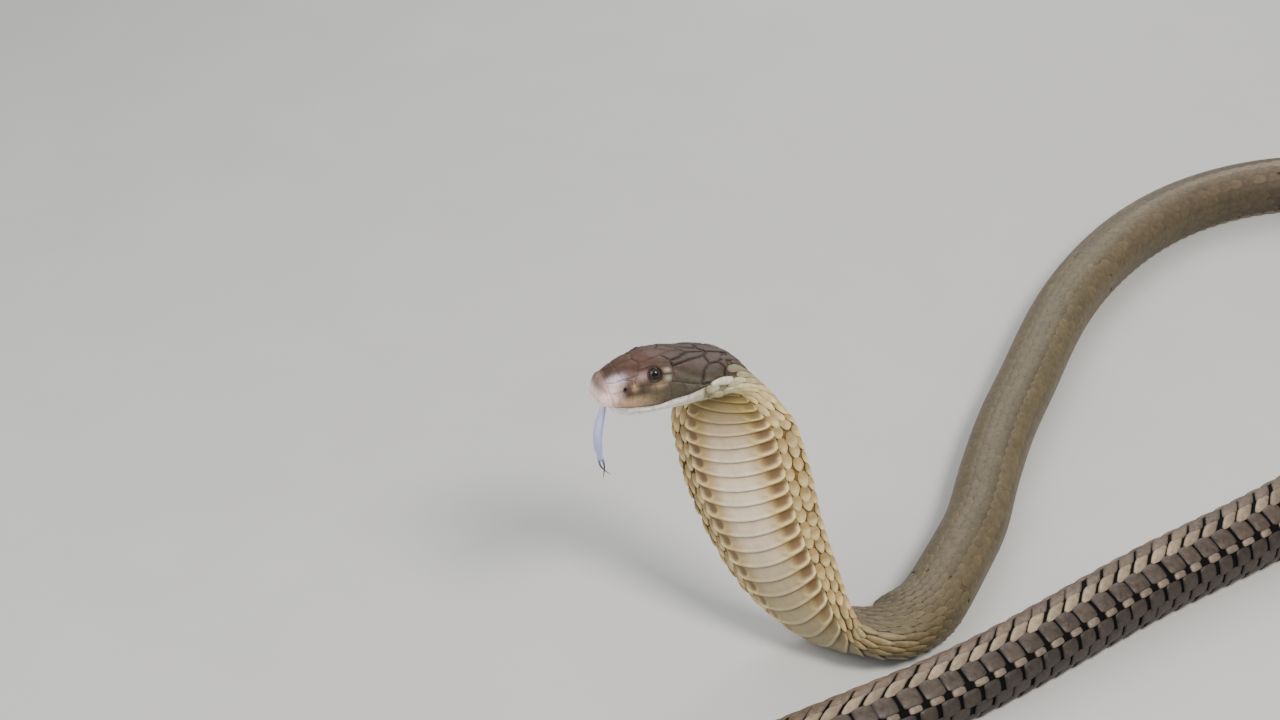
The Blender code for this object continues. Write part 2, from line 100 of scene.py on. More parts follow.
TONGUE_HALF_WIDTH = 2.4
TONGUE_HALF_THICKNESS = 0.85
TONGUE_TWIST = 58
TONGUE_SIDES = 20
STEM_RINGS = 40
TIP_RINGS = 24
FORK = 0.72

# Route of the spine: the reared part (x, y, z), then the parts on the floor (x, y).
REARED = (
    (-8.4, -11.4, 156.4), (-5.2, -10.8, 147.5), (-4.4, -13, 135), (-0.6, -16.5, 117.5),
    (5.4, -21, 96), (13, -27, 74), (22.5, -33, 54), (33, -38, 37),
    (45, -41.5, 24), (59, -43, 17))
FRONT_RUN = (
    (76, -43.5), (97.5, -28.5), (113, -2.5), (126, 25),
    (138, 53), (147, 83), (157, 115), (169, 149))
BACK_LOOP = (
    (186, 190), (216, 262), (262, 342), (332, 414), (424, 448),
    (512, 426), (574, 352), (586, 254), (534, 176), (456, 138), (374, 100))
REAR_RUN = ((296, 46), (228, 1), (167, -44), (113, -82), (64, -110))
TAIL_RUN = (
    (0, -143), (-74, -174), (-160, -192), (-250, -196),
    (-332, -182), (-396, -138), (-426, -72), (-430, 0))

# Body: half width, height of the back and depth of the belly against distance s behind
# the head, and where it settles on the floor, turns and spreads its hood.
WIDTH_AT = (0, 10, 20, 32, 45, 72, 110, 140, 170, 200, 230, 320, 700, 1100, 1420, 1640, 1760)
WIDTH = (18, 17.5, 22, 30, 34.5, 35.5, 32.5, 28.5, 24, 20.2, 18.2, 17.4, 19, 21.2, 20, 18.2, 17.6)
TAIL_LENGTH = 520
TAIL_ROOT_WIDTH = 15
TAIL_TIP_WIDTH = 1.6
TAIL_TAPER = 0.9
DEPTH_AT = (0, 10, 35, 80, 140, 190, 240, 300)
BACK_HEIGHT = (7.8, 8.3, 9, 8.5, 9, 12, 14, 14)
BELLY_DEPTH = (11.5, 9, 10.5, 12, 12, 13, 14, 14)
FLOOR_BACK = 0.86
FLOOR_BELLY = 0.79
FLOOR_SPINE = 17
SETTLE = (200, 300)
LANDING = (205, 236)
HEAD_TURN = 6
HOOD_TURN = (2, 38)
HOOD_RETURN = (120, 236)
HOOD_BACK = (0.38, 0.92, 0.08)
TANGENT_STEP = 1.5
HOOD_AT = (8, 22, 45, 140, 222, 240)
HOOD_AMOUNT = (0, 0.6, 1, 0.95, 0, 0)
HOOD_CURL = 1
FLAP_HALF = 3
RIDGE_WIDTH = 0.42
KEEL_WIDTH = 0.92
ROUNDNESS = 0.9
BELLY_FLATTEN = 1.28

# Scales: length of one scale against s, share of the half girth that the belly plates
# cover, and depth of the coat over the skin.
PERIOD_AT = (-30, 12, 30, 46, 66, 130, 200, 260, 560, 900, 1150, 1700, 1884, 2404)
PERIOD = (4.6, 4.3, 5.2, 6.8, 8.3, 8.7, 8, 8.6, 9.6, 11.5, 13, 13, 12, 5)
NAPE_PERIOD = (6.4, 6.8, 7.6, 8, 8.3)
PLATES_AT = (0, 8, 20, 45, 140, 200, 300, 1884, 2404)
PLATES_SHARE = (0.02, 0.14, 0.24, 0.34, 0.34, 0.33, 0.30, 0.30, 0.34)
COAT = 0.55

# Stretches of the body where something rises, between two distances s behind the head,
# and with four distances falls again.
BANDED_FROM = (760, 1040)
BANDED_TO = (1960, 2045)
HOOD_SCALES = (16, 40, 165, 225)
HOOD_BOW = (6, 30, 150, 230)
HOOD_POCKETS = (20, 44, 128, 190)
SMOOTH_FROM = (200, 250)
OLIVE_SHEEN = (190, 240, 560, 800)
CREASES = (225, 260, 420, 560)
BACK_FADE = (560, 960)


def linear(*seen):
    """Linear light of a colour as seen: red, green and blue out of 255."""
    c = np.array(seen) / 255.0
    return np.where(c <= 0.04045, c / 12.92, ((c + 0.055) / 1.055) ** 2.4)


SHIELD_BROWN = linear(73, 56, 45)
SHIELD_ROSE = linear(88, 63, 52)
SNOUT_PINK = linear(248, 210, 202)
SNOUT_BROWN = linear(138, 114, 104)
# Painted highlight: a pale lilac sheen on the top of the snout.
SNOUT_HIGHLIGHT = linear(220, 205, 218)
TEMPLE_GREY = linear(67, 58, 46)
CHEEK_BROWN = linear(79, 72, 60)
FAINT_SEAM_AND_BROW_SHADE = linear(74, 52, 42)
SUTURE_AND_HOLE_SHADE = linear(24, 12, 6)
LIP_CREAM = linear(190, 158, 124)
LIP_SPOT = linear(206, 170, 130)
POSTOCULAR_GREY = linear(160, 156, 136)
JAW_WHITE = linear(248, 242, 232)
JAW_CREAM = linear(186, 174, 138)
CORNER_CREAM = linear(212, 206, 184)
MOUTH_CREASE_SHADE = linear(36, 20, 17)
NAPE_BROWN = linear(70, 58, 42)
# The throat's olive tan, made darker as painted shadow under the jaw.
THROAT_TAN_AND_SHADOW = linear(136, 115, 56)
PLATE_WHITE = linear(236, 212, 182)
PLATE_YELLOW = linear(186, 156, 98)
PLATE_TAN = linear(156, 141, 98)
PLATE_OLIVE = linear(98, 89, 58)
PLATE_GREY = linear(150, 138, 112)
# Painted shadow in the sunk pockets at the outer ends of the hood's plates.
POCKET_SHADOW_BROWN = linear(104, 76, 46)
KNOB_CREAM = linear(216, 191, 136)
NECK_CREAM = linear(190, 185, 150)
HOOD_BROWN = linear(98, 82, 56)
OLIVE = linear(95, 83, 58)
OLIVE_CREASE_SHADE = linear(72, 62, 41)
BAND_ROSE = linear(100, 83, 67)
BAND_PALE = linear(136, 119, 97)
BAND_GREY = linear(70, 58, 48)
BAND_KNOB = linear(116, 101, 86)
BAND_DARK = linear(50, 41, 34)
# Tones of the banded rows, from left to right with the middle of the back in the middle. The paler
# rows near the top and the darker rows down the sides are partly the snake's own bands and partly
# painted light from above.
BAND_TONES = np.array([
    BAND_DARK, BAND_DARK, BAND_GREY, BAND_ROSE, BAND_ROSE, BAND_PALE, BAND_GREY, BAND_KNOB,
    BAND_DARK, BAND_DARK, BAND_DARK])
BLACK = linear(7, 6, 6)
HOOD_GAP = linear(82, 60, 36)
FLANK_GAP = linear(124, 96, 58)
SEAM_PALE = linear(128, 110, 82)
PUPIL = linear(12, 9, 8)
IRIS = linear(50, 39, 32)
IRIS_RING = linear(84, 68, 54)
EYE_RIM = linear(26, 18, 15)
EYE_BACK = linear(40, 28, 22)
TONGUE_LILAC = linear(214, 208, 238)
TONGUE_BLUE = linear(128, 136, 208)
TONGUE_PALE = linear(176, 178, 226)
TONGUE_DARK = linear(44, 42, 62)
# Factors that shade the root of a plate and of a scale.
PLATE_SHADE = np.array([0.62, 0.53, 0.38])
OLIVE_SHADE = np.array([0.72, 0.70, 0.66])
HOOD_SHADE = np.array([0.44, 0.36, 0.25])


def mix(a, b, share):
    """Colours between a and b, one for each share."""
    share = np.asarray(share, float)[:, None]
    return a * (1 - share) + b * share


def painted(colour, *coats):
    """A colour with coats over it in turn: a shade or a factor, and its share."""
    for shade, share in coats:
        if np.size(shade) == 1:
            shade = np.clip(colour * shade, 0, 1)
        colour = mix(colour, shade, share)
    return colour


def smooth_table(at, xs, ys):
    """Value of a table at the given places, smooth and without overshoot."""
    xs = np.asarray(xs, float)
    ys = np.asarray(ys, float)
    at = np.clip(np.asarray(at, float), xs[0], xs[-1])
    step = np.diff(xs)
    rise = np.diff(ys) / step
    slope = np.zeros(len(xs))
    same = rise[1:] * rise[:-1] > 0
    mean = 2 * rise[1:] * rise[:-1] / np.where(same, rise[1:] + rise[:-1], 1.0)
    slope[1:-1] = np.where(same, mean, 0.0)
    slope[0] = rise[0]
    slope[-1] = rise[-1]
    i = np.clip(np.searchsorted(xs, at, side="right") - 1, 0, len(xs) - 2)
    t = (at - xs[i]) / step[i]
    h00 = (1 + 2 * t) * (1 - t) ** 2
    h10 = t * (1 - t) ** 2
    h01 = t * t * (3 - 2 * t)
    h11 = t * t * (t - 1)
    return h00 * ys[i] + h10 * step[i] * slope[i] + h01 * ys[i + 1] + h11 * step[i] * slope[i + 1]


def ramp(at, start, end):
    """Smooth rise from 0 at the start to 1 at the end."""
    t = np.clip((np.asarray(at, float) - start) / (end - start), 0.0, 1.0)
    return t * t * (3 - 2 * t)


def fade(at, start, end):
    return 1 - ramp(at, start, end)


def between(at, a, b, c, d):
    """Smooth rise from a to b and fall from c to d."""
    return ramp(at, a, b) * fade(at, c, d)


def bump(at, middle, width):
    """Smooth hill of height 1 at the middle."""
    return np.exp(-((np.asarray(at, float) - middle) / width) ** 2)


def grid(rows, columns):
    """The two numbers of every place of a grid, row by row."""
    return [g.ravel() for g in np.meshgrid(rows, columns, indexing="ij")]


def unit(v):
    v = np.asarray(v, float)
    return v / np.maximum(np.linalg.norm(v, axis=-1, keepdims=True), 1e-9)


def head_axes():
    """Forward, right and up of the head."""
    yaw = math.radians(HEAD_YAW)
    pitch = math.radians(HEAD_PITCH)
    flat = math.cos(pitch)
    forward = np.array([-math.cos(yaw) * flat, -math.sin(yaw) * flat, math.sin(pitch)])
    up = np.array([0.0, 0.0, 1.0])
    up = unit(up - (up @ forward) * forward)
    right = np.cross(forward, up)
    return forward, right, up


FORWARD, RIGHT, UP = head_axes()


def head_place(back, side=0.0, up=0.0):
    """Point so far back from the snout, beside and above the middle line of the head."""
    return np.array(HEAD_BEND) + FORWARD * (HEAD_STRAIGHT - back) + RIGHT * side + UP * up


def spline(points, start_slope):
    """Dense samples of a cubic curve through the points, with its start direction given."""
    p = np.asarray(points, float)
    n = len(p)
    h = np.linalg.norm(np.diff(p, axis=0), axis=1)
    m = np.zeros((n, n))
    r = np.zeros((n, 3))
    m[0, 0] = 2 * h[0]
    m[0, 1] = h[0]
    r[0] = 6 * ((p[1] - p[0]) / h[0] - start_slope)
    m[-1, -1] = 1.0
    for k in range(1, n - 1):
        m[k, k - 1] = h[k - 1]
        m[k, k] = 2 * (h[k - 1] + h[k])
        m[k, k + 1] = h[k]
        r[k] = 6 * ((p[k + 1] - p[k]) / h[k] - (p[k] - p[k - 1]) / h[k - 1])
    c = np.linalg.solve(m, r)
    out = []
    for k in range(n - 1):
        count = max(8, int(h[k] * 2))
        t = (np.arange(count) / count * h[k])[:, None]
        back = h[k] - t
        a = (c[k] * back ** 3 + c[k + 1] * t ** 3) / (6 * h[k])
        b = (p[k] / h[k] - c[k] * h[k] / 6) * back + (p[k + 1] / h[k] - c[k + 1] * h[k] / 6) * t
        out.append(a + b)
    out.append(p[-1:])
    return joined(out)


def route():
    """The spine from the back of the head to the tail tip, sampled by length."""
    low = [(x, y, FLOOR_SPINE) for x, y in FRONT_RUN + BACK_LOOP + REAR_RUN + TAIL_RUN]
    dense = spline([HEAD_BEND] + list(REARED) + low, -FORWARD)
    s = joined([[0.0], np.cumsum(np.linalg.norm(np.diff(dense, axis=0), axis=1))])
    return s, dense


ROUTE_S, ROUTE_P = route()
LENGTH = float(ROUTE_S[-1])
TAIL_START = LENGTH - TAIL_LENGTH


def half_width(s):
    body = smooth_table(s, WIDTH_AT + (TAIL_START,), WIDTH + (TAIL_ROOT_WIDTH,))
    part = np.clip((np.asarray(s, float) - TAIL_START) / TAIL_LENGTH, 0.0, 1.0)
    tail = TAIL_ROOT_WIDTH + (TAIL_TIP_WIDTH - TAIL_ROOT_WIDTH) * part ** TAIL_TAPER
    return np.where(np.asarray(s) > TAIL_START, tail, body)


def heights(s):
    """Height of the back and depth of the belly from the spine."""
    a = half_width(s)
    top = smooth_table(s, DEPTH_AT, BACK_HEIGHT)
    low = smooth_table(s, DEPTH_AT, BELLY_DEPTH)
    floor = ramp(s, *SETTLE)
    return top * (1 - floor) + FLOOR_BACK * a * floor, low * (1 - floor) + FLOOR_BELLY * a * floor


def route_point(s):
    return np.stack([np.interp(s, ROUTE_S, ROUTE_P[:, k]) for k in range(3)], axis=1)


def spine(s):
    """Place, tailward direction and back direction of the spine."""
    p = route_point(s)
    on_floor = ramp(s, *LANDING)
    p[:, 2] = p[:, 2] * (1 - on_floor) + heights(s)[1] * on_floor
    t = route_point(s + TANGENT_STEP) - route_point(s - TANGENT_STEP)
    t[:, 2] *= 1 - on_floor
    t = unit(t)
    start = fade(s, 0.0, HEAD_TURN)[:, None]
    t = unit(t * (1 - start) - FORWARD * start)
    spread = between(s, *HOOD_TURN, *HOOD_RETURN)[:, None]
    upright = UP * start + np.array([0.0, 0.0, 1.0]) * (1 - start)
    back = unit(upright * (1 - spread) + np.array(HOOD_BACK) * spread)
    back = unit(back - np.sum(back * t, axis=1, keepdims=True) * t)
    return p, t, back


def body_section(s, angle):
    """Outline of the body at s. Angle 0 is the middle of the back, pi of the belly."""
    a = half_width(s)
    top, low = heights(s)
    amount = smooth_table(s, HOOD_AT, HOOD_AMOUNT)
    q = np.sin(angle)
    c = np.cos(angle)
    x = a * np.sign(q) * np.abs(q) ** ROUNDNESS
    round_part = np.abs(c) ** ROUNDNESS
    loaf = np.where(c > 0, top * round_part, -low * np.minimum(1.0, BELLY_FLATTEN * round_part))
    u = np.clip(x / a, -1, 1)
    rim = FLAP_HALF * np.sqrt(np.clip(1 - u ** 4, 0, 1))
    over = rim + (top - FLAP_HALF) * np.exp(-(u / RIDGE_WIDTH) ** 2)
    under = rim + (low - FLAP_HALF) * np.clip(1 - np.abs(u / KEEL_WIDTH) ** 2, 0, 1)
    spread = np.where(c > 0, over, -under) - HOOD_CURL * np.abs(u) ** 2.2
    return x, loaf * (1 - amount) + spread * amount


def head_section(back, angle):
    """Outline of the head: crown at angle 0, upper lip, mouth, lower lip, chin at pi."""
    side = np.degrees(np.abs(angle))
    back = np.maximum(back, 0.0)
    full = np.maximum(back, SNOUT_ROUND)
    w = smooth_table(full, HEAD_AT, HEAD_WIDTH)
    top = smooth_table(full, HEAD_AT, HEAD_TOP)
    lip = smooth_table(full, HEAD_AT, MOUTH_LINE)
    low = smooth_table(back, JAW_AT, JAW_LOW)
    turn = np.minimum(side / LIP_ANGLE, 1.0) * math.pi / 2
    square = SNOUT_SQUARE + (HEAD_SQUARE - SNOUT_SQUARE) * ramp(back, 1.0, 17.0)
    square = square + NAPE_ROOF * ramp(back, 32.0, 52.0)
    x = w * np.sin(turn) ** square
    y = lip + (top - lip) * np.clip(np.cos(turn), 0, 1) ** square
    degrees = np.degrees(turn)
    brow = bump(back, BROW[0], BROW[1]) * bump(degrees, BROW[2], BROW[3])
    lips = np.minimum(1.0, back / LIP_START) * bump(degrees, LIP[0], LIP[1])
    x = x + BROW_OUT * brow + LIP_OUT * lips
    y = y + BROW_UP * brow
    split = fade(back, JAW_CORNER - 6.0, JAW_CORNER + 1.0)
    begun = ramp(back, JAW_FRONT - 0.8, JAW_FRONT + 0.3)
    reach = np.maximum(0.0, (JAW_ROUND - back) / (JAW_ROUND - JAW_FRONT + 0.1))
    jaw_w = (w - JAW_INSET) * np.sqrt(np.maximum(0.03, 1 - reach ** 2)) * (0.4 + 0.6 * begun)
    jaw_w = w * (1 - split) + jaw_w * split
    inner = jaw_w - MOUTH_DEPTH * split * begun
    part = np.clip((side - LIP_ANGLE) / (JAW_ANGLE - LIP_ANGLE), 0, 1)
    outer = inner + (jaw_w - inner) * (2 * part - 1)
    groove_x = np.where(part < 0.5, w + (inner - w) * 2 * part, outer)
    drop = LIP_GAP * split
    groove_y = lip - drop * ramp(part, 0.3, 0.7)
    turn = np.clip((side - JAW_ANGLE) / (180.0 - JAW_ANGLE), 0, 1) * math.pi / 2
    jaw_x = jaw_w * np.clip(np.cos(turn), 0, 1) ** 0.75
    jaw_y = lip - drop + (low - lip) * np.sin(turn) ** 0.85 * begun
    x = np.where(side > JAW_ANGLE, jaw_x, np.where(side > LIP_ANGLE, groove_x, x))
    y = np.where(side > JAW_ANGLE, jaw_y, np.where(side > LIP_ANGLE, groove_y, y))
    nose = 1 - (1 - np.minimum(back / SNOUT_ROUND, 1)) ** SNOUT_BLUNT
    nose = np.clip(nose, 0, 1) ** (1 / SNOUT_BLUNT)
    return x * nose * np.sign(angle), SNOUT_TIP + (y - SNOUT_TIP) * nose


def surface(s, angle):
    """Point of the animal's outer surface. Places in front of s = 0 are on the head."""
    s = np.asarray(s, float)
    angle = np.asarray(angle, float)
    p, t, back = spine(np.maximum(s, 0.0))
    p = p + FORWARD * np.maximum(-s, 0.0)[:, None]
    x, y = body_section(np.maximum(s, 0.0), angle)
    near = s < HEAD_END
    if near.any():
        hx, hy = head_section(s[near] + HEAD_STRAIGHT, angle[near])
        blend = ramp(s[near] + HEAD_STRAIGHT, JAW_CORNER, HEAD_STRAIGHT + HEAD_END)
        x[near] = hx * (1 - blend) + x[near] * blend
        y[near] = hy * (1 - blend) + y[near] * blend
    side = np.cross(back, t)
    return p + x[:, None] * side + y[:, None] * back


def surface_normal(s, angle, step=0.6, turn=0.012):
    ahead = surface(s + step, angle) - surface(s - step, angle)
    around = surface(s, angle + turn) - surface(s, angle - turn)
    return unit(np.cross(ahead, around))


def lifted(s, angle, height):
    """Points that stand off the surface, kept above the floor."""
    points = surface(s, angle) + surface_normal(s, angle) * np.asarray(height)[:, None]
    points[:, 2] = np.maximum(points[:, 2], 0.0)
    return points


# Girth table: the angle at each share of the half girth, from belly (0) to back (1).
GIRTH_S = np.arange(-40.0, LENGTH + 4.0, 4.0)
GIRTH_SHARE = np.linspace(0.0, 1.0, 121)


def girth_table():
    angle = np.linspace(math.pi, 0.0, 241)
    rows = []
    for s in GIRTH_S:
        p = surface(np.full(len(angle), s), angle)
        run = joined([[0.0], np.cumsum(np.linalg.norm(np.diff(p, axis=0), axis=1))])
        rows.append(np.interp(GIRTH_SHARE, run / run[-1], angle))
    return np.array(rows)


GIRTH = girth_table()


def angle_at(s, share):
    """Angle from the back at a share of the half girth counted from the belly."""
    i = np.clip((s - GIRTH_S[0]) / 4.0, 0, len(GIRTH_S) - 1.001)
    j = np.clip(share, 0, 1) * (len(GIRTH_SHARE) - 1.001)
    a = i.astype(int)
    b = j.astype(int)
    fi = i - a
    fj = j - b
    low = GIRTH[a, b] * (1 - fj) + GIRTH[a, b + 1] * fj
    high = GIRTH[a + 1, b] * (1 - fj) + GIRTH[a + 1, b + 1] * fj
    return low * (1 - fi) + high * fi


# Count of scale lengths along the body, so that scales and plates share one rhythm.
COUNT_S = np.arange(-30.0, LENGTH, 1.0)
COUNT_MEET = 66


def count_table(lengths):
    """Count of lengths along the body, 0 where scales and plates fall in step."""
    steps = 1.0 / smooth_table(COUNT_S[:-1] + 0.5, PERIOD_AT, lengths)
    counts = joined([[0.0], np.cumsum(steps)])
    return counts - np.interp(COUNT_MEET, COUNT_S, counts)


PLATE_COUNT = count_table(PERIOD)
SCALE_COUNT = count_table(NAPE_PERIOD + PERIOD[len(NAPE_PERIOD):])


def count_at(s, table):
    return np.interp(s, COUNT_S, table)


def place_at(n, table):
    return np.interp(n, table, COUNT_S)


def plates_share(s):
    return smooth_table(s, PLATES_AT, PLATES_SHARE)


# Rows of the banded run, counted from the middle of the back, as shares of the way to the
# belly plates. The row beside the middle one is wide. The rows turn a little about the spine.
BAND_ROWS = (0, 0.5, 1.5, 2.5, 3.5, 4.5, 5.5)
BAND_SHARE = (0, 0.078, 0.35, 0.44, 0.67, 0.85, 1)
BAND_TURN = -1


def banded_part(s):
    return between(s, *BANDED_FROM, *BANDED_TO)


def row_angle(s, row, rows):
    """Angle of a place across the scale rows: 0 at the right edge of the belly plates."""
    half = rows / 2.0
    away = np.abs(row - half)
    band = banded_part(s)
    out = away / half * (1 - band) + np.interp(away, BAND_ROWS, BAND_SHARE) * band
    angle = angle_at(s, 1 - (1 - plates_share(s)) * out)
    return np.where(row < half, angle, -angle) + math.radians(BAND_TURN) * band * (1 - out ** 2)


def to_model(points):
    return (points - CENTRE) * MM


# Unwrap of the skin: the head on top, the body in strips below it.
HEAD_BAND = 0.55
STRIPS = 8


def unwrap(s, angle):
    share = (angle + math.pi) / (2 * math.pi)
    head_u = (s + HEAD_STRAIGHT) / (HEAD_STRAIGHT + HEAD_END)
    run = np.clip((s - HEAD_END) / (LENGTH - HEAD_END), 0, 0.99999) * STRIPS
    strip = np.floor(run)
    body_u = run - strip
    body_v = (1 - HEAD_BAND) * (strip + 0.03 + 0.94 * share) / STRIPS
    on_head = s < HEAD_END
    u = np.where(on_head, 0.01 + 0.98 * head_u, body_u)
    v = np.where(on_head, 1 - HEAD_BAND + 0.01 + (HEAD_BAND - 0.02) * share, body_v)
    return np.stack([u, v], axis=1)


def coat_unwrap(s, angle):
    """Unwrap of the body alone, in strips that fill the whole square."""
    share = (angle + math.pi) / (2 * math.pi)
    run = np.clip((s + HEAD_STRAIGHT) / (LENGTH + HEAD_STRAIGHT), 0, 0.99999) * STRIPS
    strip = np.floor(run)
    return np.stack([run - strip, (strip + 0.02 + 0.96 * share) / STRIPS], axis=1)


class Parts:
    """A piece gathered part by part: points, colours, unwrap and triangles."""

    def __init__(self):
        self.rows = []
        self.faces = []
        self.count = 0

    def add(self, points, colours, uv, shape=-1):
        """Takes in points and gives their numbers."""
        numbers = np.arange(self.count, self.count + len(points)).reshape(shape)
        self.rows.append((points, colours, uv))
        self.count += len(points)
        return numbers

    def band(self, rings):
        """Joins each ring of points to the next, and its end to its start."""
        a, c = rings[:-1], rings[1:]
        b, d = np.roll(a, -1, axis=1), np.roll(c, -1, axis=1)
        self.faces.append(np.stack([a, b, c], -1).reshape(-1, 3))
        self.faces.append(np.stack([b, d, c], -1).reshape(-1, 3))

    def start(self, ring, hub):
        """Joins the first ring to one point."""
        self.faces.append(np.stack([np.full(len(ring), hub), np.roll(ring, -1), ring], 1))

    def end(self, ring, hub):
        """Joins the last ring to one point."""
        self.faces.append(np.stack([np.full(len(ring), hub), ring, np.roll(ring, -1)], 1))


def make_piece(name, parts, material, replaced=(), under=None, first=0):
    """Mesh object in the frame of the part. Points from first on have the material under."""
    points, colours, uv = [joined(column) for column in zip(*parts.rows)]
    corners = joined(parts.faces).astype(np.int32)
    a, b, c = points[corners].transpose(1, 0, 2)
    if np.sum(a * np.cross(b, c)) < 0:
        corners = corners[:, ::-1]
    mesh = bpy.data.meshes.new(name)
    mesh.vertices.add(len(points))
    mesh.vertices.foreach_set("co", to_model(points).astype(np.float32).ravel())
    mesh.loops.add(corners.size)
    mesh.loops.foreach_set("vertex_index", corners.ravel())
    mesh.polygons.add(len(corners))
    mesh.polygons.foreach_set("loop_start", np.arange(0, corners.size, 3, dtype=np.int32))
    mesh.polygons.foreach_set("loop_total", np.full(len(corners), 3, np.int32))
    mesh.update(calc_edges=True)
    mesh.shade_smooth()
    layer = mesh.color_attributes.new("Col", "FLOAT_COLOR", "POINT")
    rgba = joined([np.clip(colours, 0, 1), np.ones((len(points), 1))], axis=1)
    layer.data.foreach_set("color", rgba.astype(np.float32).ravel())
    layer = mesh.uv_layers.new(name="OFBake")
    spread = np.clip(uv[corners.ravel()], 0, 1)
    layer.data.foreach_set("uv", spread.astype(np.float32).ravel())
    mesh.materials.append(material)
    if under is not None:
        mesh.materials.append(under)
        deep = corners.min(axis=1) >= first
        mesh.polygons.foreach_set("material_index", deep.astype(np.int32))
    mesh.validate()
    piece = bpy.data.objects.new(name, mesh)
    bpy.context.scene.collection.objects.link(piece)
    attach(piece, "root")
    if replaced:
        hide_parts(*replaced)
    return piece


class Nodes:
    """Small helper that adds and joins shader nodes."""

    def __init__(self, name):
        self.material = bpy.data.materials.new(name)
        self.material.use_nodes = True
        self.tree = self.material.node_tree
        self.shader = self.tree.nodes["Principled BSDF"]
        self.place = self.add("ShaderNodeTexCoord")

    def add(self, kind, **values):
        node = self.tree.nodes.new(kind)
        for key, value in values.items():
            if hasattr(node, key):
                setattr(node, key, value)
            else:
                node.inputs[key.replace("_", " ")].default_value = value
        return node
    def join(self, node, out, other, into):
        self.tree.links.new(node.outputs[out], other.inputs[into])

    def noise(self, **values):
        node = self.add("ShaderNodeTexNoise", **values)
        self.join(self.place, "Object", node, "Vector")
        return node

    def mottled(self, noise, **spread):
        """Base colour from the mesh, lighter and darker with the noise."""
        colour = self.add("ShaderNodeVertexColor", layer_name="Col")
        tone = self.add("ShaderNodeMapRange", **spread)
        tint = self.add("ShaderNodeVectorMath", operation="SCALE")
        self.join(noise, "Fac", tone, "Value")
        self.join(colour, "Color", tint, 0)
        self.join(tone, "Result", tint, "Scale")
        self.join(tint, "Vector", self.shader, "Base Color")

    def polish(self, specular, coat, coat_roughness):
        self.shader.inputs["Specular IOR Level"].default_value = specular
        self.shader.inputs["Coat Weight"].default_value = coat
        self.shader.inputs["Coat Roughness"].default_value = coat_roughness


def organic_material(name, roughness, grain, relief, mottle, specular=0.5, coat=0.0):
    """Skin or scale: colour from the mesh, mottled, with fine grain and uneven gloss."""
    n = Nodes(name)
    blotch = n.noise(Scale=grain * 0.32, Detail=5.0, Roughness=0.6)
    fine = n.noise(Scale=grain * 2.4, Detail=4.0, Roughness=0.65)
    lumps = n.noise(Scale=grain, Detail=3.0, Roughness=0.5)
    n.mottled(blotch, From_Min=0.3, From_Max=0.7, To_Min=1.0 - mottle, To_Max=1.0 + mottle)
    gloss = n.add("ShaderNodeMapRange", To_Min=roughness - 0.12, To_Max=roughness + 0.14)
    n.join(fine, "Fac", gloss, "Value")
    n.join(gloss, "Result", n.shader, "Roughness")
    both = n.add("ShaderNodeMath", operation="MULTIPLY_ADD")
    both.inputs[1].default_value = 0.35
    n.join(fine, "Fac", both, 0)
    n.join(lumps, "Fac", both, 2)
    raised = n.add("ShaderNodeBump", Strength=relief, Distance=0.0004)
    n.join(both, "Value", raised, "Height")
    n.join(raised, "Normal", n.shader, "Normal")
    n.polish(specular, coat, 0.22)
    return n.material


def eye_material():
    n = Nodes("wet_eye")
    n.mottled(n.noise(Scale=2600.0, Detail=3.0), To_Min=0.6, To_Max=1.4)
    n.shader.inputs["Roughness"].default_value = 0.14
    n.polish(0.25, 0.3, 0.05)
    return n.material


# Seams of the shields: width, darkness, then the course as pairs of the distance back from
# the snout and the angle from the middle of the shields. Side courses are mirrored.
SEAMS = [
    (0.40, 0.30, 4, 0, 9.5, 0, 18.5, 0),
    (0.95, 1, 50.5, 0, 60.5, 0, 66, 0),
    (0.45, 0.35, 3.2, 0, 3.4, 40, 5, 72, 6.5, 97),
    (0.45, 0.35, 9.5, 0, 10, 25, 11, 48),
    (0.45, 0.45, 3.4, 42, 7.5, 50, 11, 48, 15.5, 58, 15.5, 74),
    (0.50, 0.50, 18.5, 0, 20.5, 14, 19, 32, 18.5, 46, 15, 50, 11, 48),
    (0.45, 0.40, 18.5, 46, 16.5, 60, 17.5, 72),
    (0.45, 0.45, 20.5, 14, 28, 12),
    (0.62, 0.80, 33, 5.2, 34.6, 13, 36.5, 21.9),
    (0.45, 0.40, 28, 12, 33, 5.2, 40, 0, 50.5, 0),
    (1.35, 1, 36.5, 21.9, 44, 12.5, 50.5, 0),
    (0.55, 0.60, 19, 32, 23.5, 30, 30.7, 31, 36, 36.5),
    (1.15, 1, 36.5, 21.9, 36, 36.5),
    (1.25, 1, 36, 36.5, 45.5, 24.4, 51.5, 14.4, 57.5, 9.1, 60.5, 0),
    (1.10, 1, 57.5, 9.1, 57.5, 32.4, 62.5, 29.8),
    (1.05, 1, 62.5, 29.8, 66, 14, 66, 0),
    (1, 0.85, 57.5, 32.4, 52.6, 50, 50, 75.9, 49, 86.6),
    (0.95, 1, 62.5, 29.8, 64, 46, 62, 75.3, 55.5, 90, 49, 86.6),
    (0.50, 0.60, 36, 36.5, 35.5, 58, 34.6, 74),
    (0.50, 0.65, 31, 56, 35.3, 55),
    (0.40, 0.35, 5.4, 76, 9, 75, 15.5, 74, 21, 73, 27, 75, 34.2, 74),
    (0.50, 0.60, 34.6, 74, 39, 76, 44, 81, 49, 86.6)]
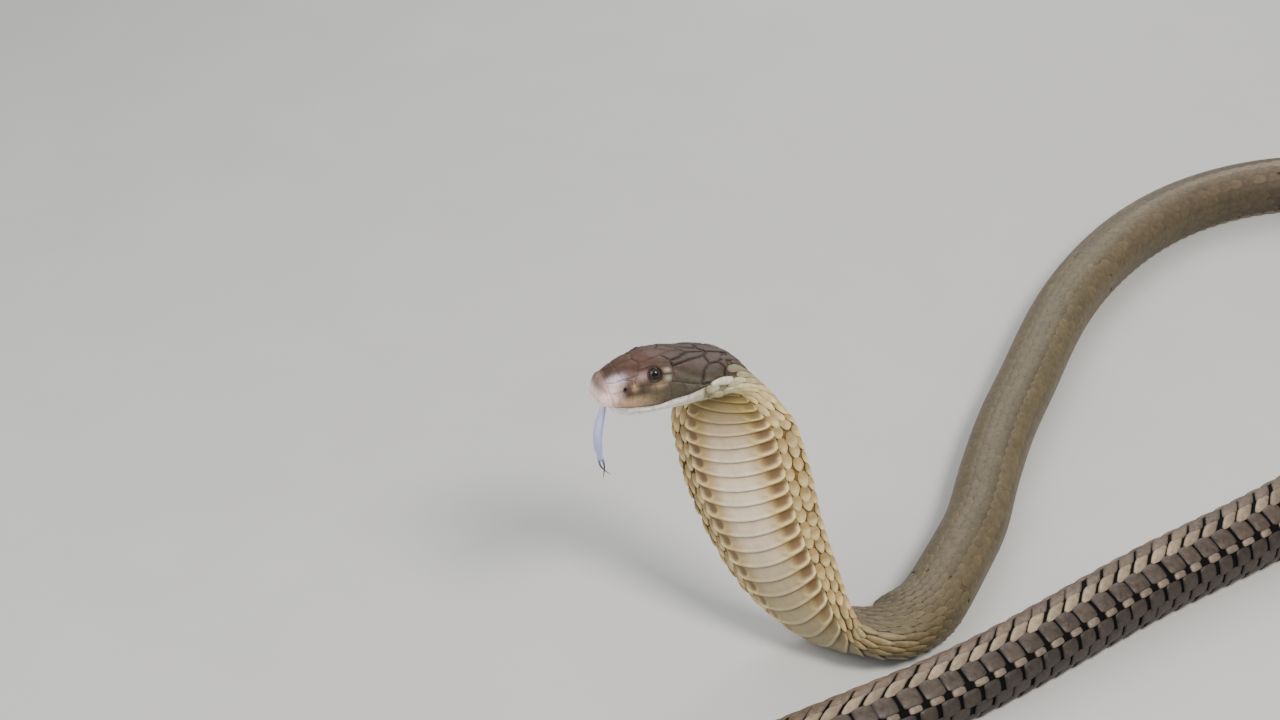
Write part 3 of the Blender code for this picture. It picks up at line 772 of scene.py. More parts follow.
# Seams of the upper lip: back and angle of the upper end, and back of the end at the lip.
LIP_SEAMS = (
    (9, 75, 9.4), (15, 74, 15.6), (20.5, 73, 21), (26.5, 75, 27.4),
    (33, 74, 34.2), (39.5, 76, 40.8), (46, 82, 47.2))
for k, (high, turn, low) in enumerate(LIP_SEAMS):
    SEAMS.append((*((0.36, 0.30) if k < 4 else (0.40, 0.40)), high, turn, low, 98))
SEAMS.append((0.36, 0.30, 10.5, 124, 20.0, 127, 35.0, 127, 50.0, 122))
for back, turn in ((14.0, 126), (20.0, 127), (27.0, 127), (35.0, 127), (43.0, 125)):
    SEAMS.append((0.36, 0.25, back, 105, back, turn))
SEAMS += [
    (0.36, 0.30, 9.5, 180, 22.0, 180, 36.0, 180),
    (0.36, 0.30, 22.0, 180, 19.0, 152, 14.0, 140),
    (0.36, 0.30, 34.0, 180, 31.0, 156, 25.0, 140, 24.0, 128)]
# The middle line of the shields leaves the crown a little behind the eyes, as a share of
# the head's half width.
CROWN_AT = (16, 36, 49, 58, 66)
CROWN_SHIFT = (0, 0.05, 0.26, 0.24, 0.12)
# The long pale scale that rises behind each corner of the mouth: its ends and half width.
CORNER_ENDS = ((55.2, 103), (65, 78))
CORNER_HALF = 2.1
# Where the shields end and the scales of the neck begin, by angle from the crown.
SHIELD_END_ANGLE = (0, 20, 40, 72, 84, 92, 110, 180)
SHIELD_END = (66.3, 65.6, 65.2, 63.4, 57, 51.5, 50.5, 55)


def sideways(degrees):
    """Share of the half width that an angle of the upper head stands for."""
    turn = np.clip(np.abs(degrees) / LIP_ANGLE, 0, 1) * math.pi / 2
    return np.sign(degrees) * np.sin(turn) ** HEAD_SQUARE


def angle_sideways(share):
    """Angle of the upper head at a share of its half width."""
    turn = np.arcsin(np.clip(np.abs(share), 0, 1) ** (1 / HEAD_SQUARE))
    return np.sign(share) * turn * LIP_ANGLE / (math.pi / 2)


def shield_angle(back, degrees):
    """Angle from the middle line of the shields at a place on the head."""
    shift = smooth_table(back, CROWN_AT, CROWN_SHIFT)
    share = sideways(degrees)
    inner = np.where(share > shift, (share - shift) / (1 - shift), (share - shift) / (1 + shift))
    return np.where(np.abs(degrees) < LIP_ANGLE, angle_sideways(inner), degrees)


def head_angle(back, degrees):
    """Angle on the head of a place on the shields."""
    shift = smooth_table(back, CROWN_AT, CROWN_SHIFT)
    share = sideways(degrees)
    moved = share + shift * (1 - np.abs(share))
    return np.where(np.abs(degrees) < LIP_ANGLE, angle_sideways(moved), degrees)


def past_shields(back, degrees):
    """Distance of a place behind the last shields."""
    return back - np.interp(np.abs(degrees), SHIELD_END_ANGLE, SHIELD_END)


def corner_reach(points):
    """Distance from the nearer corner scale's middle line, in its half widths."""
    reach = np.full(len(points), 99.0)
    for sign in (1, -1):
        back, degrees = np.array(CORNER_ENDS).T
        a, b = surface(back - HEAD_STRAIGHT, np.radians(sign * degrees))
        run = np.clip((points - a) @ (b - a) / ((b - a) @ (b - a)), 0, 1)
        away = np.linalg.norm(points - a - run[:, None] * (b - a), axis=1)
        reach = np.minimum(reach, away / (CORNER_HALF * (0.75 + 0.5 * run * (1 - run) * 2)))
    return reach


def seam_points():
    """Points along every seam on the head's surface, with each one's width and darkness."""
    places, widths, darks = [], [], []
    for width, dark, *course in SEAMS:
        middle = all(a % 180 == 0 for a in course[1::2])
        course = list(zip(course[::2], course[1::2]))
        for sign in (1,) if middle else (1, -1):
            for (b0, a0), (b1, a1) in zip(course[:-1], course[1:]):
                count = int(math.hypot(b1 - b0, 0.3 * (a1 - a0)) / 0.1) + 2
                t = np.linspace(0, 1, count)
                degrees = a0 + (a1 - a0) * t
                if max(a0, a1) <= LIP_ANGLE:
                    degrees = angle_sideways(sideways(a0) * (1 - t) + sideways(a1) * t)
                back = b0 + (b1 - b0) * t
                places.append(np.stack([back, head_angle(back, sign * degrees)], 1))
                widths.append(np.full(count, width))
                darks.append(np.full(count, dark))
    places = joined(places)
    points = surface(places[:, 0] - HEAD_STRAIGHT, np.radians(places[:, 1]))
    return points, joined(widths), joined(darks)


def eye_frame(side):
    """Centre of an eye and the way it looks."""
    look = RIGHT * side * EYE_LOOK[0] + UP * EYE_LOOK[1] + FORWARD * EYE_LOOK[2]
    return head_place(EYE[0], side * EYE[1], EYE[2]), unit(look)


# Rings of the head's skin, as distances back from the snout, and rows of the body's skin.
HEAD_ROWS = np.unique(np.round(joined([
    [0.01, 0.04, 0.1, 0.2, 0.33, 0.5, 0.75, 1.0, 1.3, 1.65], np.arange(2.0, 7.2, 0.36),
    np.arange(7.2, 9.0, 0.14), np.arange(9.0, 69.9, 0.36), [70.0]]), 3))
SKIN_ROW = 6
COARSE = 5


def even_angles(back, last, count):
    """Angles from the crown that lie evenly along the head's outline."""
    degrees = np.linspace(0, last, 2000)
    x, y = head_section(np.full(2000, back), np.radians(degrees))
    run = joined([[0.0], np.cumsum(np.hypot(np.diff(x), np.diff(y)))])
    return np.interp(np.linspace(0, run[-1], count), run, degrees)


HEAD_ANGLES = joined([
    even_angles(40.0, 94.0, 89)[:-1], np.linspace(94, 108, 34)[:-1], np.linspace(108, 180, 40)])


def head_relief(back, degrees, points, seams, corner):
    """Height of shields, seams, lids and nostrils, and how far painted shade darkens each nostril
    and the crease round each eye.
    """
    distance, width, dark = seams
    solid_part = (1 - bump(np.abs(degrees), 102, 2.6) * (back < 58)) * ramp(back, 0.5, 4.0)
    behind = ramp(past_shields(back, degrees), -0.7, 0.7)
    rise = 0.20 * (1 - bump(distance, 0, 0.9)) - 0.05
    groove = (0.10 + 0.14 * dark) * bump(distance, 0, 0.7 * width)
    height = (rise - groove) * solid_part * (1 - behind) - COAT * behind
    bulge = 0.1 + 0.8 * np.sqrt(np.clip(1 - corner ** 2, 0, 1))
    height = height + (bulge - height) * fade(corner, 0.9, 1.3)
    holes = []
    for side in (1, -1):
        centre, look = eye_frame(side)
        offset = points - centre
        ahead = (offset @ look) > -1.0
        r = np.linalg.norm(offset - (offset @ look)[:, None] * look, axis=1)
        lid = 0.08 + 0.26 * ramp((offset @ UP) + 0.35 * (offset @ FORWARD), 0.5, 3.4)
        socket = SOCKET_DEPTH * np.clip(1 - (r / EYE_RADIUS) ** 2, 0, 1)
        height = height + ahead * (lid * bump(r, *LID) - socket)
        gap = points - head_place(NOSTRIL[0], side * (NOSTRIL[1] + 0.8), NOSTRIL[2])
        gap = gap @ np.stack([FORWARD, UP, RIGHT], 1) / NOSTRIL_REACH
        away = np.linalg.norm(gap, axis=1)
        height = height - NOSTRIL_DEPTH * bump(away, 0, 0.9) + 0.08 * bump(away, 1.6, 0.4)
        # Painted shade: near black deep in each nostril and in the crease round each eye.
        rim = 0.9 * ahead * bump(r, 3.55, 0.5)
        holes.append(np.maximum(0.92 * np.exp(-(away / 1.05) ** 4), rim))
    return height, holes


def head_colours(back, degrees, seams, corner, holes):
    """Colours of the head: shields, lips, lower jaw and seams."""
    a = np.abs(shield_angle(back, degrees))

    def spot(strength, at, reach, turn, spread):
        return strength * bump(back, at, reach) * bump(a, turn, spread)

    tip = fade(back, 1.5, 5.0)
    rise = head_section(back, np.radians(degrees))[1]
    low = np.maximum(ramp(a, 22, 62) * (1 - tip), fade(rise, -2.5, 3.0))
    pale = spot(1.0, 32.9, 1.8, 46, 7) + spot(1.0, 32.9, 1.8, 65, 7)
    # The first spot is painted shade: a dark line under the brow, above each eye. The other spots
    # are faint dark marks on the crown.
    brow_shade_and_marks = spot(1.0, 25, 7, 33, 3.5) + spot(0.8, 26.3, 2.2, 9, 5)
    brow_shade_and_marks = brow_shade_and_marks + spot(0.5, 19.0, 2.0, 22, 8) + spot(0.35, 36, 2, 18, 9)
    under = ramp(a, LIP_ANGLE + 1.5, JAW_ANGLE)
    jaw = mix(JAW_WHITE, JAW_CREAM, ramp(back, 30, 60))
    # Painted shade in the crease of the mouth, between the upper and the lower lip.
    mouth = np.clip(1.3 * bump(a, 101.6, 1.7), 0, 1) * between(back, 4.5, 7.5, 51, 55)
    nape = mix(NAPE_BROWN, JAW_CREAM * 0.6, ramp(a, 60, 90))
    distance, width, dark = seams
    distance = np.where(corner < 1.3, 9.0, distance)
    halo = bump(distance, 0, 1.5) * 0.3 * dark
    seam = mix(FAINT_SEAM_AND_BROW_SHADE, SUTURE_AND_HOLE_SHADE, np.clip(dark * 1.5 - 0.5, 0, 1))
    edge = np.exp(-(distance / (0.6 * width)) ** 4) * np.minimum(1.0, dark * 1.3)
    return painted(
        SHIELD_BROWN,
        (SHIELD_ROSE, bump(back, 22, 12) * ramp(a, 74, 20)),
        (TEMPLE_GREY, ramp(a, 36, 56) * ramp(back, 32, 40)),
        (CHEEK_BROWN, 0.85 * ramp(a, 58, 80) * ramp(back, 15, 26)),
        (SNOUT_BROWN, tip),
        (SNOUT_PINK, fade(back, 5, 14) * low),
        (SNOUT_PINK, spot(0.25, 20, 6, 52, 12)),
        # painted highlight on the snout
        (SNOUT_HIGHLIGHT, spot(0.8, 8.5, 4.0, 44, 14)),
        (LIP_CREAM, 0.85 * ramp(a, 84, 96) * bump(back, 15, 10)),
        (LIP_CREAM, spot(0.5, 28.7, 3.5, 76, 7)),
        (LIP_SPOT, spot(0.9, 16.6, 1.5, 72, 8)),
        (POSTOCULAR_GREY, 0.8 * np.clip(pale, 0, 1)),
        # painted shade under the brows, and faint marks on the crown
        (FAINT_SEAM_AND_BROW_SHADE, 0.8 * np.clip(brow_shade_and_marks, 0, 1)),
        (jaw, under * (back > 6.5)),
        # painted shade along the crease of the mouth
        (MOUTH_CREASE_SHADE, mouth),
        (nape, ramp(past_shields(back, degrees), -0.8, 0.8)),
        (NAPE_BROWN, 0.7 * bump(corner, 1.25, 0.2)),
        (CORNER_CREAM, fade(corner, 0.85, 1.1)),
        (0.4, halo * (1 - under)),
        (mix(seam, SEAM_PALE, under), edge),
        # painted shade in the nostrils and round the eyes
        *[(SUTURE_AND_HOLE_SHADE, hole) for hole in holes])


def body_skin_colours(s, angle):
    """The skin between the scales: brown on the hood, olive, then black."""
    return painted(
        FLANK_GAP,
        # darker gap skin on one side: partly the skin's own brown, partly painted shade in the
        # hollows between the scales
        (HOOD_GAP, angle > 0),
        (NAPE_BROWN * 0.7, fade(np.abs(angle), 1.5, 1.9)),
        (OLIVE * 0.9, ramp(s, 150, 225)),
        (BLACK, ramp(s, *BACK_FADE)))


def build_skin(material, under):
    """The one skin of head and body."""
    seam_at, seam_width, seam_dark = seam_points()
    tree = KDTree(len(seam_at))
    for k, p in enumerate(seam_at):
        tree.insert(p, k)
    tree.balance()
    angles = joined([-HEAD_ANGLES[:0:-1], HEAD_ANGLES[:-1]])
    back, degrees = grid(HEAD_ROWS, angles)
    s = back - HEAD_STRAIGHT
    angle = np.radians(degrees)
    points = surface(s, angle)
    nearest, distance = np.array([tree.find(p)[1:] for p in points]).T
    nearest = nearest.astype(int)
    seams = (distance, seam_width[nearest], seam_dark[nearest])
    corner = corner_reach(points)
    height, holes = head_relief(back, degrees, points, seams, corner)
    points = points + surface_normal(s, angle, 0.3, 0.01) * height[:, None]
    colours = head_colours(back, degrees, seams, corner, holes)
    skin = Parts()
    head = skin.add(points, colours, unwrap(s, angle), (len(HEAD_ROWS), -1))
    skin.band(head)
    tip = head_place(0.0, up=SNOUT_TIP)[None]
    tip = skin.add(tip, SNOUT_PINK[None], [[0.0, 1 - HEAD_BAND / 2]])
    skin.start(head[0], tip)
    rows = np.arange(HEAD_END + SKIN_ROW / 2, LENGTH - 6, SKIN_ROW)
    rows = joined([rows, [LENGTH - 3, LENGTH - 1.2]])
    s, angle = grid(rows, np.radians(angles[::COARSE]))
    points = lifted(s, angle, -np.minimum(COAT, 0.25 * half_width(s)))
    body = skin.add(points, body_skin_colours(s, angle), unwrap(s, angle), (len(rows), -1))
    skin.band(body)
    coarse = body.shape[1]
    for k in range(coarse):
        fine = np.roll(head[-1], -k * COARSE)[:COARSE + 1]
        c0 = body[0, k]
        c1 = body[0, (k + 1) % coarse]
        fan = [(fine[m], fine[m + 1], c0 if m < COARSE // 2 else c1) for m in range(COARSE)]
        skin.faces.append(np.array(fan + [(c0, fine[COARSE // 2], c1)]))
    end = surface(np.array([LENGTH]), np.array([0.0]))
    end[0, 2] = 1.2
    skin.end(body[-1], skin.add(end, BLACK[None], [[0.999, 0.01]]))
    flesh = [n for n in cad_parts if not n.startswith(("eye", "tongue"))]
    return make_piece("skin", skin, material, flesh, under, body[0, 0])


SCALE_SIDES = 18
SCALE_RINGS = (0.42, 0.72, 0.9, 0.975, 1)
SCALE_SUNK = 0.25


def scale_pattern():
    """Round template of one scale: places on it, its base and its triangles."""
    turn = 2 * math.pi * np.arange(SCALE_SIDES) / SCALE_SIDES
    rings = SCALE_RINGS + (1.0,)
    radius = joined([[0.0], np.repeat(rings, SCALE_SIDES)])
    angle = joined([[0.0], np.tile(turn, len(rings))])
    base = 1 + len(SCALE_RINGS) * SCALE_SIDES
    triangles = []
    for j in range(SCALE_SIDES):
        i = (j + 1) % SCALE_SIDES
        triangles.append((0, 1 + j, 1 + i))
        for a in range(1, base, SCALE_SIDES):
            b = a + SCALE_SIDES
            triangles.append((a + j, b + j, b + i))
            triangles.append((a + j, b + i, a + i))
    for j in range(1, SCALE_SIDES - 1):
        triangles.append((base, base + j + 1, base + j))
    return radius, angle, np.arange(len(radius)) >= base, np.array(triangles)


def build_scales(name, scales, material):
    """One closed mesh from many scales, given as a dict of equal arrays."""
    radius, turn, base, pattern = scale_pattern()
    count = len(scales["n"])
    size = len(radius)
    each = SimpleNamespace(**{key: np.repeat(value, size) for key, value in scales.items()})
    r = np.tile(radius, count)
    t = np.tile(turn, count)
    shape = np.abs(np.cos(t)) ** each.power + np.abs(np.sin(t)) ** each.power
    shape = r * shape ** (-1 / each.power)
    along = shape * np.cos(t)
    across = shape * np.sin(t) * (1 - each.point * ramp(along, -0.1, 1.2))
    s = place_at(each.n + along * each.length + each.shear * across, SCALE_COUNT)
    angle = row_angle(s, each.row + across * each.width, each.rows)
    rise = SCALE_SUNK + each.tilt * (along + 1) / 2 + each.dome * np.clip(1 - r ** 2, 0, 1)
    height = each.lift - SCALE_SUNK + rise * (0.5 + 0.5 * np.clip(1 - r ** 7, 0, 1))
    height = np.where(np.tile(base, count), -1.15 * COAT, height)
    root = place_at(scales["n"], SCALE_COUNT)
    centre = coat_unwrap(root, row_angle(root, scales["row"], scales["rows"]))
    uv = np.repeat(centre, size, axis=0) + 0.0015 * np.stack([along, across], axis=1)
    coat = Parts()
    coat.add(lifted(s, angle, height), scale_colours(each, along, r, s), uv)
    coat.faces.append((pattern + size * np.arange(count)[:, None, None]).reshape(-1, 3))
    return make_piece(name, coat, material)


# Spans of the body: start, end, number of scale rows.
SPANS = (
    (-12, 236, 19), (236, 590, 15), (590, 800, 13), (800, 2050, 11),
    (2050, 2170, 9), (2170, 2290, 7), (2290, 2398, 5))
# Banded rows from left to right, the middle of the back at 0: how far each row is shifted
# along the body, and how far its joints lean towards the tail, in scale lengths.
BAND_KEY = range(-5, 6)
BAND_SHIFT = (0.60, 0.10, 0.60, 0.10, 0.14, 0, 0.86, 0.86, 0.36, 0.86, 0.36)
BAND_LEAN = (0, 0, 0.15, 0.30, 0.46, 0.38, 0, 0, 0, 0, 0)
BAND_WIDTH = (0.56, 0.58, 0.56, 0.58, 0.53, 0.60, 0.54, 0.50, 0.56, 0.60, 0.56)
BAND_LENGTH = (1, 1, 1, 1, 1, 0.96, 1, 0.72, 0.94, 1, 1)
BAND_LIFT = (0, 0.1, 0, 0.1, 0, 0.30, 0, 0.34, 0.05, 0.1, 0)


def scale_lattice():
    """All scales of the back and sides, row by row."""
    parts = []
    for start, end, rows in SPANS:
        first = math.ceil(count_at(start, SCALE_COUNT))
        last = math.floor(count_at(end, SCALE_COUNT))
        n = np.arange(first, last + 0.01)
        for j in range(rows):
            parts.append([n, 0 * n + j + 0.5, 0 * n + rows, 0 * n + (rows - 1) // 2 - j])
    n, row, rows, key = joined(parts, axis=1)
    band = banded_part(place_at(n, SCALE_COUNT))

    def banded_value(values, other):
        return np.interp(key, BAND_KEY, values) * band + other * (1 - band)

    n = n + banded_value(BAND_SHIFT, 0.5 * (np.abs(key) % 2))
    s = place_at(n, SCALE_COUNT)
    degrees = np.degrees(row_angle(s, row, rows))
    near = s < 20
    reach = np.full(len(s), 9.0)
    reach[near] = corner_reach(surface(s[near], np.radians(degrees[near])))
    keep = (past_shields(s + HEAD_STRAIGHT, degrees) > 2.0) & (reach > 1.75)
    slide, stretch, widen, shade, sway = RANDOM.normal(0, 1, (len(n), 5)).T
    tail = ramp(s, *BANDED_TO)
    banded = ramp(s, *BANDED_FROM)
    lateral = np.minimum(row, rows - row)
    knob = between(s, *HOOD_SCALES) * fade(lateral, 2.8, 4.2)
    beads = knob * np.where(key > 0, 1.0, 0.2)
    smooth = ramp(s, *SMOOTH_FROM) * (1 - banded)
    nape = fade(s, 4, 24)
    length = 0.60 + 0.05 * smooth - 0.150 * banded * (1 - tail) - 0.08 * tail - 0.07 * beads
    length = length * banded_value(BAND_LENGTH, 1.0)
    width = banded_value(BAND_WIDTH, 0.57 + 0.04 * smooth - 0.05 * beads)
    raised = banded_value(BAND_LIFT, 0.0)
    rough = 1 + 1.8 * knob + 0.7 * banded + 1.5 * nape
    scales = {
        "n": n + 0.026 * rough * slide,
        "row": row + (0.07 * knob + 0.04 * nape) * sway,
        "rows": rows,
        "key": key,
        "length": length * (1 + 0.03 * rough * stretch),
        "width": width * (1 + 0.02 * rough * widen),
        "power": 2.3 + 3.2 * band - 0.1 * knob + 1.2 * tail,
        "point": 0.25 * (1 - banded) + 0.1 * knob + 0.2 * tail,
        "shear": -banded_value(BAND_LEAN, 0.0),
        "tilt": 0.42 - 0.31 * smooth + 0.22 * banded + 0.30 * knob - 0.08 * nape + 0.3 * raised,
        "dome": 0.18 - 0.13 * smooth + 0.10 * banded + 0.42 * knob + 1.2 * raised,
        "lift": 0.10 * nape + 0.5 * raised,
        "tone": 1 + (0.06 + 0.07 * banded) * shade,
        "knob": knob,
        "banded": banded,
        "lateral": lateral}
    return part_of(scales, keep)


def scale_colours(each, along, r, s):
    """Colours over the scales: cream hood, olive body, banded run, dark tail."""
    key, knob, banded, tone = each.key, each.knob, each.banded, each.tone
    smooth = between(s, *OLIVE_SHEEN)
    neck = fade(s, 4, 26)
    top = ramp(each.lateral, 5.0, 7.4)
    nape = painted(
        NECK_CREAM, (SHIELD_BROWN, top), (KNOB_CREAM, 0.7 * ramp(s, 2, 22) * (1 - top)))
    # Painted shade along two lengthwise creases of the olive body.
    crease = (bump(key, -1.0, 0.5) + 0.7 * bump(key, -4.0, 0.6)) * between(s, *CREASES)
    band = BAND_TONES[np.clip(key + 5, 0, 10).astype(int)]
    band = painted(band, (0.62, ramp(s, TAIL_START - 60, TAIL_START + 160)))
    colour = painted(
        KNOB_CREAM,
        (HOOD_BROWN, ramp(each.lateral, 3.0, 5.0)),
        (nape, neck),
        (OLIVE, ramp(s, 140, 205) * (1 - 0.35 * knob)),
        # painted shade in the creases
        (OLIVE_CREASE_SHADE, 0.55 * np.clip(crease, 0, 1)),
        (band, ramp(s, 520, 980)))
    front = ramp(-along, -0.1 - 0.45 * knob, 0.85 - 0.3 * knob)
    depth = 0.30 + 0.6 * knob + 0.35 * neck + 0.15 * banded - 0.18 * smooth
    shade = colour * mix(OLIVE_SHADE, HOOD_SHADE, np.clip(knob + 0.5 * neck, 0, 1))
    # Painted highlight at the tip of every scale, stronger on the two raised rows of the banded run
    # and on the paler scales of the olive body, weaker on the rest of it.
    tip = ramp(along, 0.15, 0.85) * fade(r, 0.93, 1.0)
    highlit_rows = banded * (bump(key, 0, 0.4) + 0.7 * bump(key, 2, 0.4))
    pale = np.clip((tone - 1.09) * 20, 0, 1)
    tip_highlight = 0.30 + 0.6 * highlit_rows + (0.5 * pale - 0.22) * smooth
    colour = painted(colour, (shade, front * np.clip(depth, 0, 1)), (1.6, tip_highlight * tip))
    dark_edge = mix(colour * 0.55, BLACK, ramp(s, 600, 960))
    ends = ramp(np.abs(along), 0.74, 0.95)
    edge = ramp(r, 0.80, 1.0) * (0.26 + 0.7 * banded * ends - 0.2 * banded)
    colour = mix(colour, dark_edge, edge * (1 - 0.9 * smooth))
    grain = RANDOM.normal(0, 1, len(s)) * (0.02 + 0.17 * banded) * (1 - 0.7 * highlit_rows)
    return colour * (tone + grain)[:, None]


# Shares of the way from the back to the belly plates where the coat is parted in pieces.
MIDDLE_ROWS = 0.24
LOW_ROWS = 0.62


def part_of(scales, chosen):
    return {key: value[chosen] for key, value in scales.items()}


# Belly plates: start and end, points across and along each plate, and its halves.
WHOLE = ((-1, 1),)
HALVES = ((-1, 0), (0, 1))
PLATE_SPANS = (
    (4, 236, 57, 13, WHOLE), (240, TAIL_START, 17, 6, WHOLE),
    (TAIL_START + 4, LENGTH - 8, 9, 6, HALVES))
PLATE_BOW = 0.42
PLATE_OVER = 1.2
POCKET_DEPTH = 0.60


def build_plates(material):
    """Belly plates: each one closed, tucked under the plate in front of it."""
    plates = Parts()
    for first, last, across, along, sides in PLATE_SPANS:
        first = math.ceil(count_at(first, PLATE_COUNT))
        last = math.floor(count_at(last, PLATE_COUNT))
        p, q = grid(np.linspace(-1, 1, across), np.linspace(0, 1, along))
        p, q = np.tile(p, 2), np.tile(q, 2)
        under = np.repeat([0.0, 1.0], across * along)
        triangles = plate_triangles(np.arange(across * along).reshape(across, along))
        for i in range(first, last + 1):
            tone = 1 + RANDOM.normal(0, 0.035)
            for low, high in sides:
                side = low + (high - low) * (p + 1) / 2
                s = place_at(plate_place(i, side, q), PLATE_COUNT)
                angle = angle_at(s, plates_share(s) * np.abs(side) * 1.02)
                angle = angle * np.sign(side + 1e-9)
                height = plate_height(s, side, q) - under * plate_thickness(q)
                plates.faces.append(triangles + plates.count)
                plates.add(
                    lifted(s, angle, height), plate_colours(s, side, q) * tone,
                    coat_unwrap(s, angle * 0.985))
    return make_piece("belly_plates", plates, material)


def plate_triangles(index):
    """Triangles of one closed plate: its top, its bottom and the wall round its edge."""
    a, b = index[:-1, :-1], index[1:, :-1]
    c, d = index[:-1, 1:], index[1:, 1:]
    top = joined([np.stack([a, b, d], -1).reshape(-1, 3), np.stack([a, d, c], -1).reshape(-1, 3)])
    half = index.size
    edge = joined([index[:, 0], index[-1, 1:], index[-2::-1, -1], index[0, -2:0:-1]])
    after = np.roll(edge, -1)
    wall = joined([
        np.stack([edge, edge + half, after + half], -1), np.stack([edge, after + half, after], -1)])
    return joined([top, top[:, ::-1] + half, wall])


def plate_place(i, side, q):
    """Count along the body of a place on plate i."""
    hood = between(place_at(float(i), PLATE_COUNT), *HOOD_BOW)
    bow = PLATE_BOW * hood * (1 - np.abs(side) ** 1.8)
    corner = 0.22 * ramp(np.abs(side), 0.86, 1.0) * q
    return i - 0.5 + bow + PLATE_OVER * q - corner


def pocket(s, side, q):
    """Share of the hood, and distance from a plate's sunken pocket: under 1 inside."""
    left = side < 0
    middle = np.where(left, 0.78, 0.84)
    half = np.where(left, 0.22, 0.16)
    reach = np.hypot((np.abs(side) - middle) / half, (q - 0.45) / 0.31)
    return between(s, *HOOD_POCKETS), reach


def plate_height(s, side, q):
    a = np.abs(side)
    hood, reach = pocket(s, side, q)
    roll = 0.66 * ramp(q, -0.05, 0.88) + (0.16 + 0.26 * ramp(a, 0.2, 0.6)) * bump(q, 0.88, 0.09)
    sunk = -POCKET_DEPTH * fade(reach, 0.5, 1.05)
    ridge = 0.45 * bump(reach, 1.3, 0.25) * ramp(q, 0.3, 0.7)
    lobe = 0.55 * bump(a, 0.955, 0.045) * ramp(q, 0.3, 0.8)
    return (-0.12 + roll + hood * (sunk + ridge + lobe)) * (1 - 0.75 * ramp(a, 0.98, 1.0))


def plate_thickness(q):
    return 0.34 + 0.12 * (1 - q)


def plate_colours(s, side, q):
    """Colours over the plates: white and yellow hood, olive neck, grey body."""
    a = np.abs(side)
    hood, reach = pocket(s, side, q)
    # Painted shadow, brown, fills the sunk pocket at the outer end of each hood plate, lighter
    # towards the plate's rear.
    inside = hood * fade(reach, 0.84, 1.1) * ramp(a, 0.5, 0.74)
    brown = mix(POCKET_SHADOW_BROWN, POCKET_SHADOW_BROWN * 1.35, ramp(q, 0.35, 0.7))
    pale = 0.8 * bump(reach, 1.24, 0.16) * ramp(q, 0.4, 0.7)
    pale = hood * (pale + bump(a, 0.955, 0.05) * ramp(q, 0.3, 0.7))
    # Painted highlight along the raised rear rim of each hood plate, stronger towards the sides and
    # further back, and none in the pockets.
    ridge = 0.35 + 0.5 * ramp(a, 0.2, 0.5) + 0.4 * ramp(s, 110, 170)
    ridge = ridge * ramp(q, 0.76, 0.86) * (1 - inside) * fade(s, 200, 260)
    colour = painted(
        PLATE_WHITE,
        (PLATE_YELLOW, ramp(a, 0.24, 0.70)),
        # the throat under the jaw: olive tan with painted shadow
        (THROAT_TAN_AND_SHADOW, fade(s, 22, 64)),
        (PLATE_TAN, 0.85 * ramp(s, 84, 145)),
        (PLATE_OLIVE, ramp(s, 132, 212)),
        (PLATE_GREY, ramp(s, 520, 900)))
    return painted(
        colour,
        (colour * PLATE_SHADE, fade(q, 0.10, 0.55) * (0.45 + 0.35 * ramp(a, 0.2, 0.6))),
        # painted shadow in the pockets
        (brown, 0.92 * inside),
        (KNOB_CREAM, np.clip(pale, 0, 1)),
        # painted highlight on the rear rims
        (1.7, np.clip(ridge, 0, 1)),
        (0.3, ramp(a, 0.8, 0.97) * ramp(s, 520, 800)),
        (0.45, ramp(q, 0.965, 1.0)))


def build_eye(side, name, material):
    """Eyeball with a slightly bulged clear front, a round pupil and a thin iris ring."""
    centre, look = eye_frame(side)
    across = unit(np.cross(look, UP))
    axes = np.stack([look, across, np.cross(across, look)])
    theta = np.linspace(0, math.pi, EYE_RINGS + 1)[1:-1]
    tt, ff = grid(theta, 2 * math.pi * np.arange(EYE_SIDES) / EYE_SIDES)
    radius = EYE_RADIUS * (1 + EYE_BULGE * bump(tt, 0, 0.7))
    ways = np.stack([np.cos(tt), np.sin(tt) * np.cos(ff), np.sin(tt) * np.sin(ff)], 1)
    off = np.where(tt < math.pi / 2, EYE_RADIUS * np.sin(tt), 9.0)
    colour = painted(
        PUPIL,
        (IRIS, ramp(off, 1.75, 2.0)),
        (IRIS_RING, 0.6 * bump(off, 1.95, 0.16)),
        (EYE_RIM, ramp(off, 2.6, 3.2)))
    uv = 0.5 + 0.48 * (tt / math.pi)[:, None] * np.stack([np.cos(ff), np.sin(ff)], 1)
    eye = Parts()
    ball = eye.add(centre + radius[:, None] * (ways @ axes), colour, uv, (-1, EYE_SIDES))
    eye.band(ball)
    poles = centre + np.outer([1 + EYE_BULGE, -1], look) * EYE_RADIUS
    poles = eye.add(poles, np.stack([PUPIL, EYE_BACK]), [[0.5, 0.5], [0.5, 0.985]])
    eye.start(ball[0], poles[0])
    eye.end(ball[-1], poles[1])
    return make_piece(name, eye, material, (name,))


def tongue_strip(path, widths, thicknesses, twists):
    """Flat rings along a path, each with a shallow trough."""
    turn = 2 * math.pi * np.arange(TONGUE_SIDES)[:, None] / TONGUE_SIDES
    rings = []
    for k, p in enumerate(path):
        ahead = unit(path[min(k + 1, len(path) - 1)] - path[max(k - 1, 0)])
        broad = RIGHT * math.cos(twists[k]) + FORWARD * math.sin(twists[k])
        thick = unit(np.cross(ahead, broad))
        x = widths[k] * np.cos(turn)
        y = thicknesses[k] * (np.sin(turn) + 0.25 * np.cos(turn) ** 2)
        rings.append(p + x * np.cross(thick, ahead) + y * thick)
    return np.array(rings)


def even_path(points, start, count):
    """Places spread evenly along a smooth curve through a few points."""
    line = spline(points, start)
    return line[np.linspace(0, len(line) - 1, count).astype(int)]


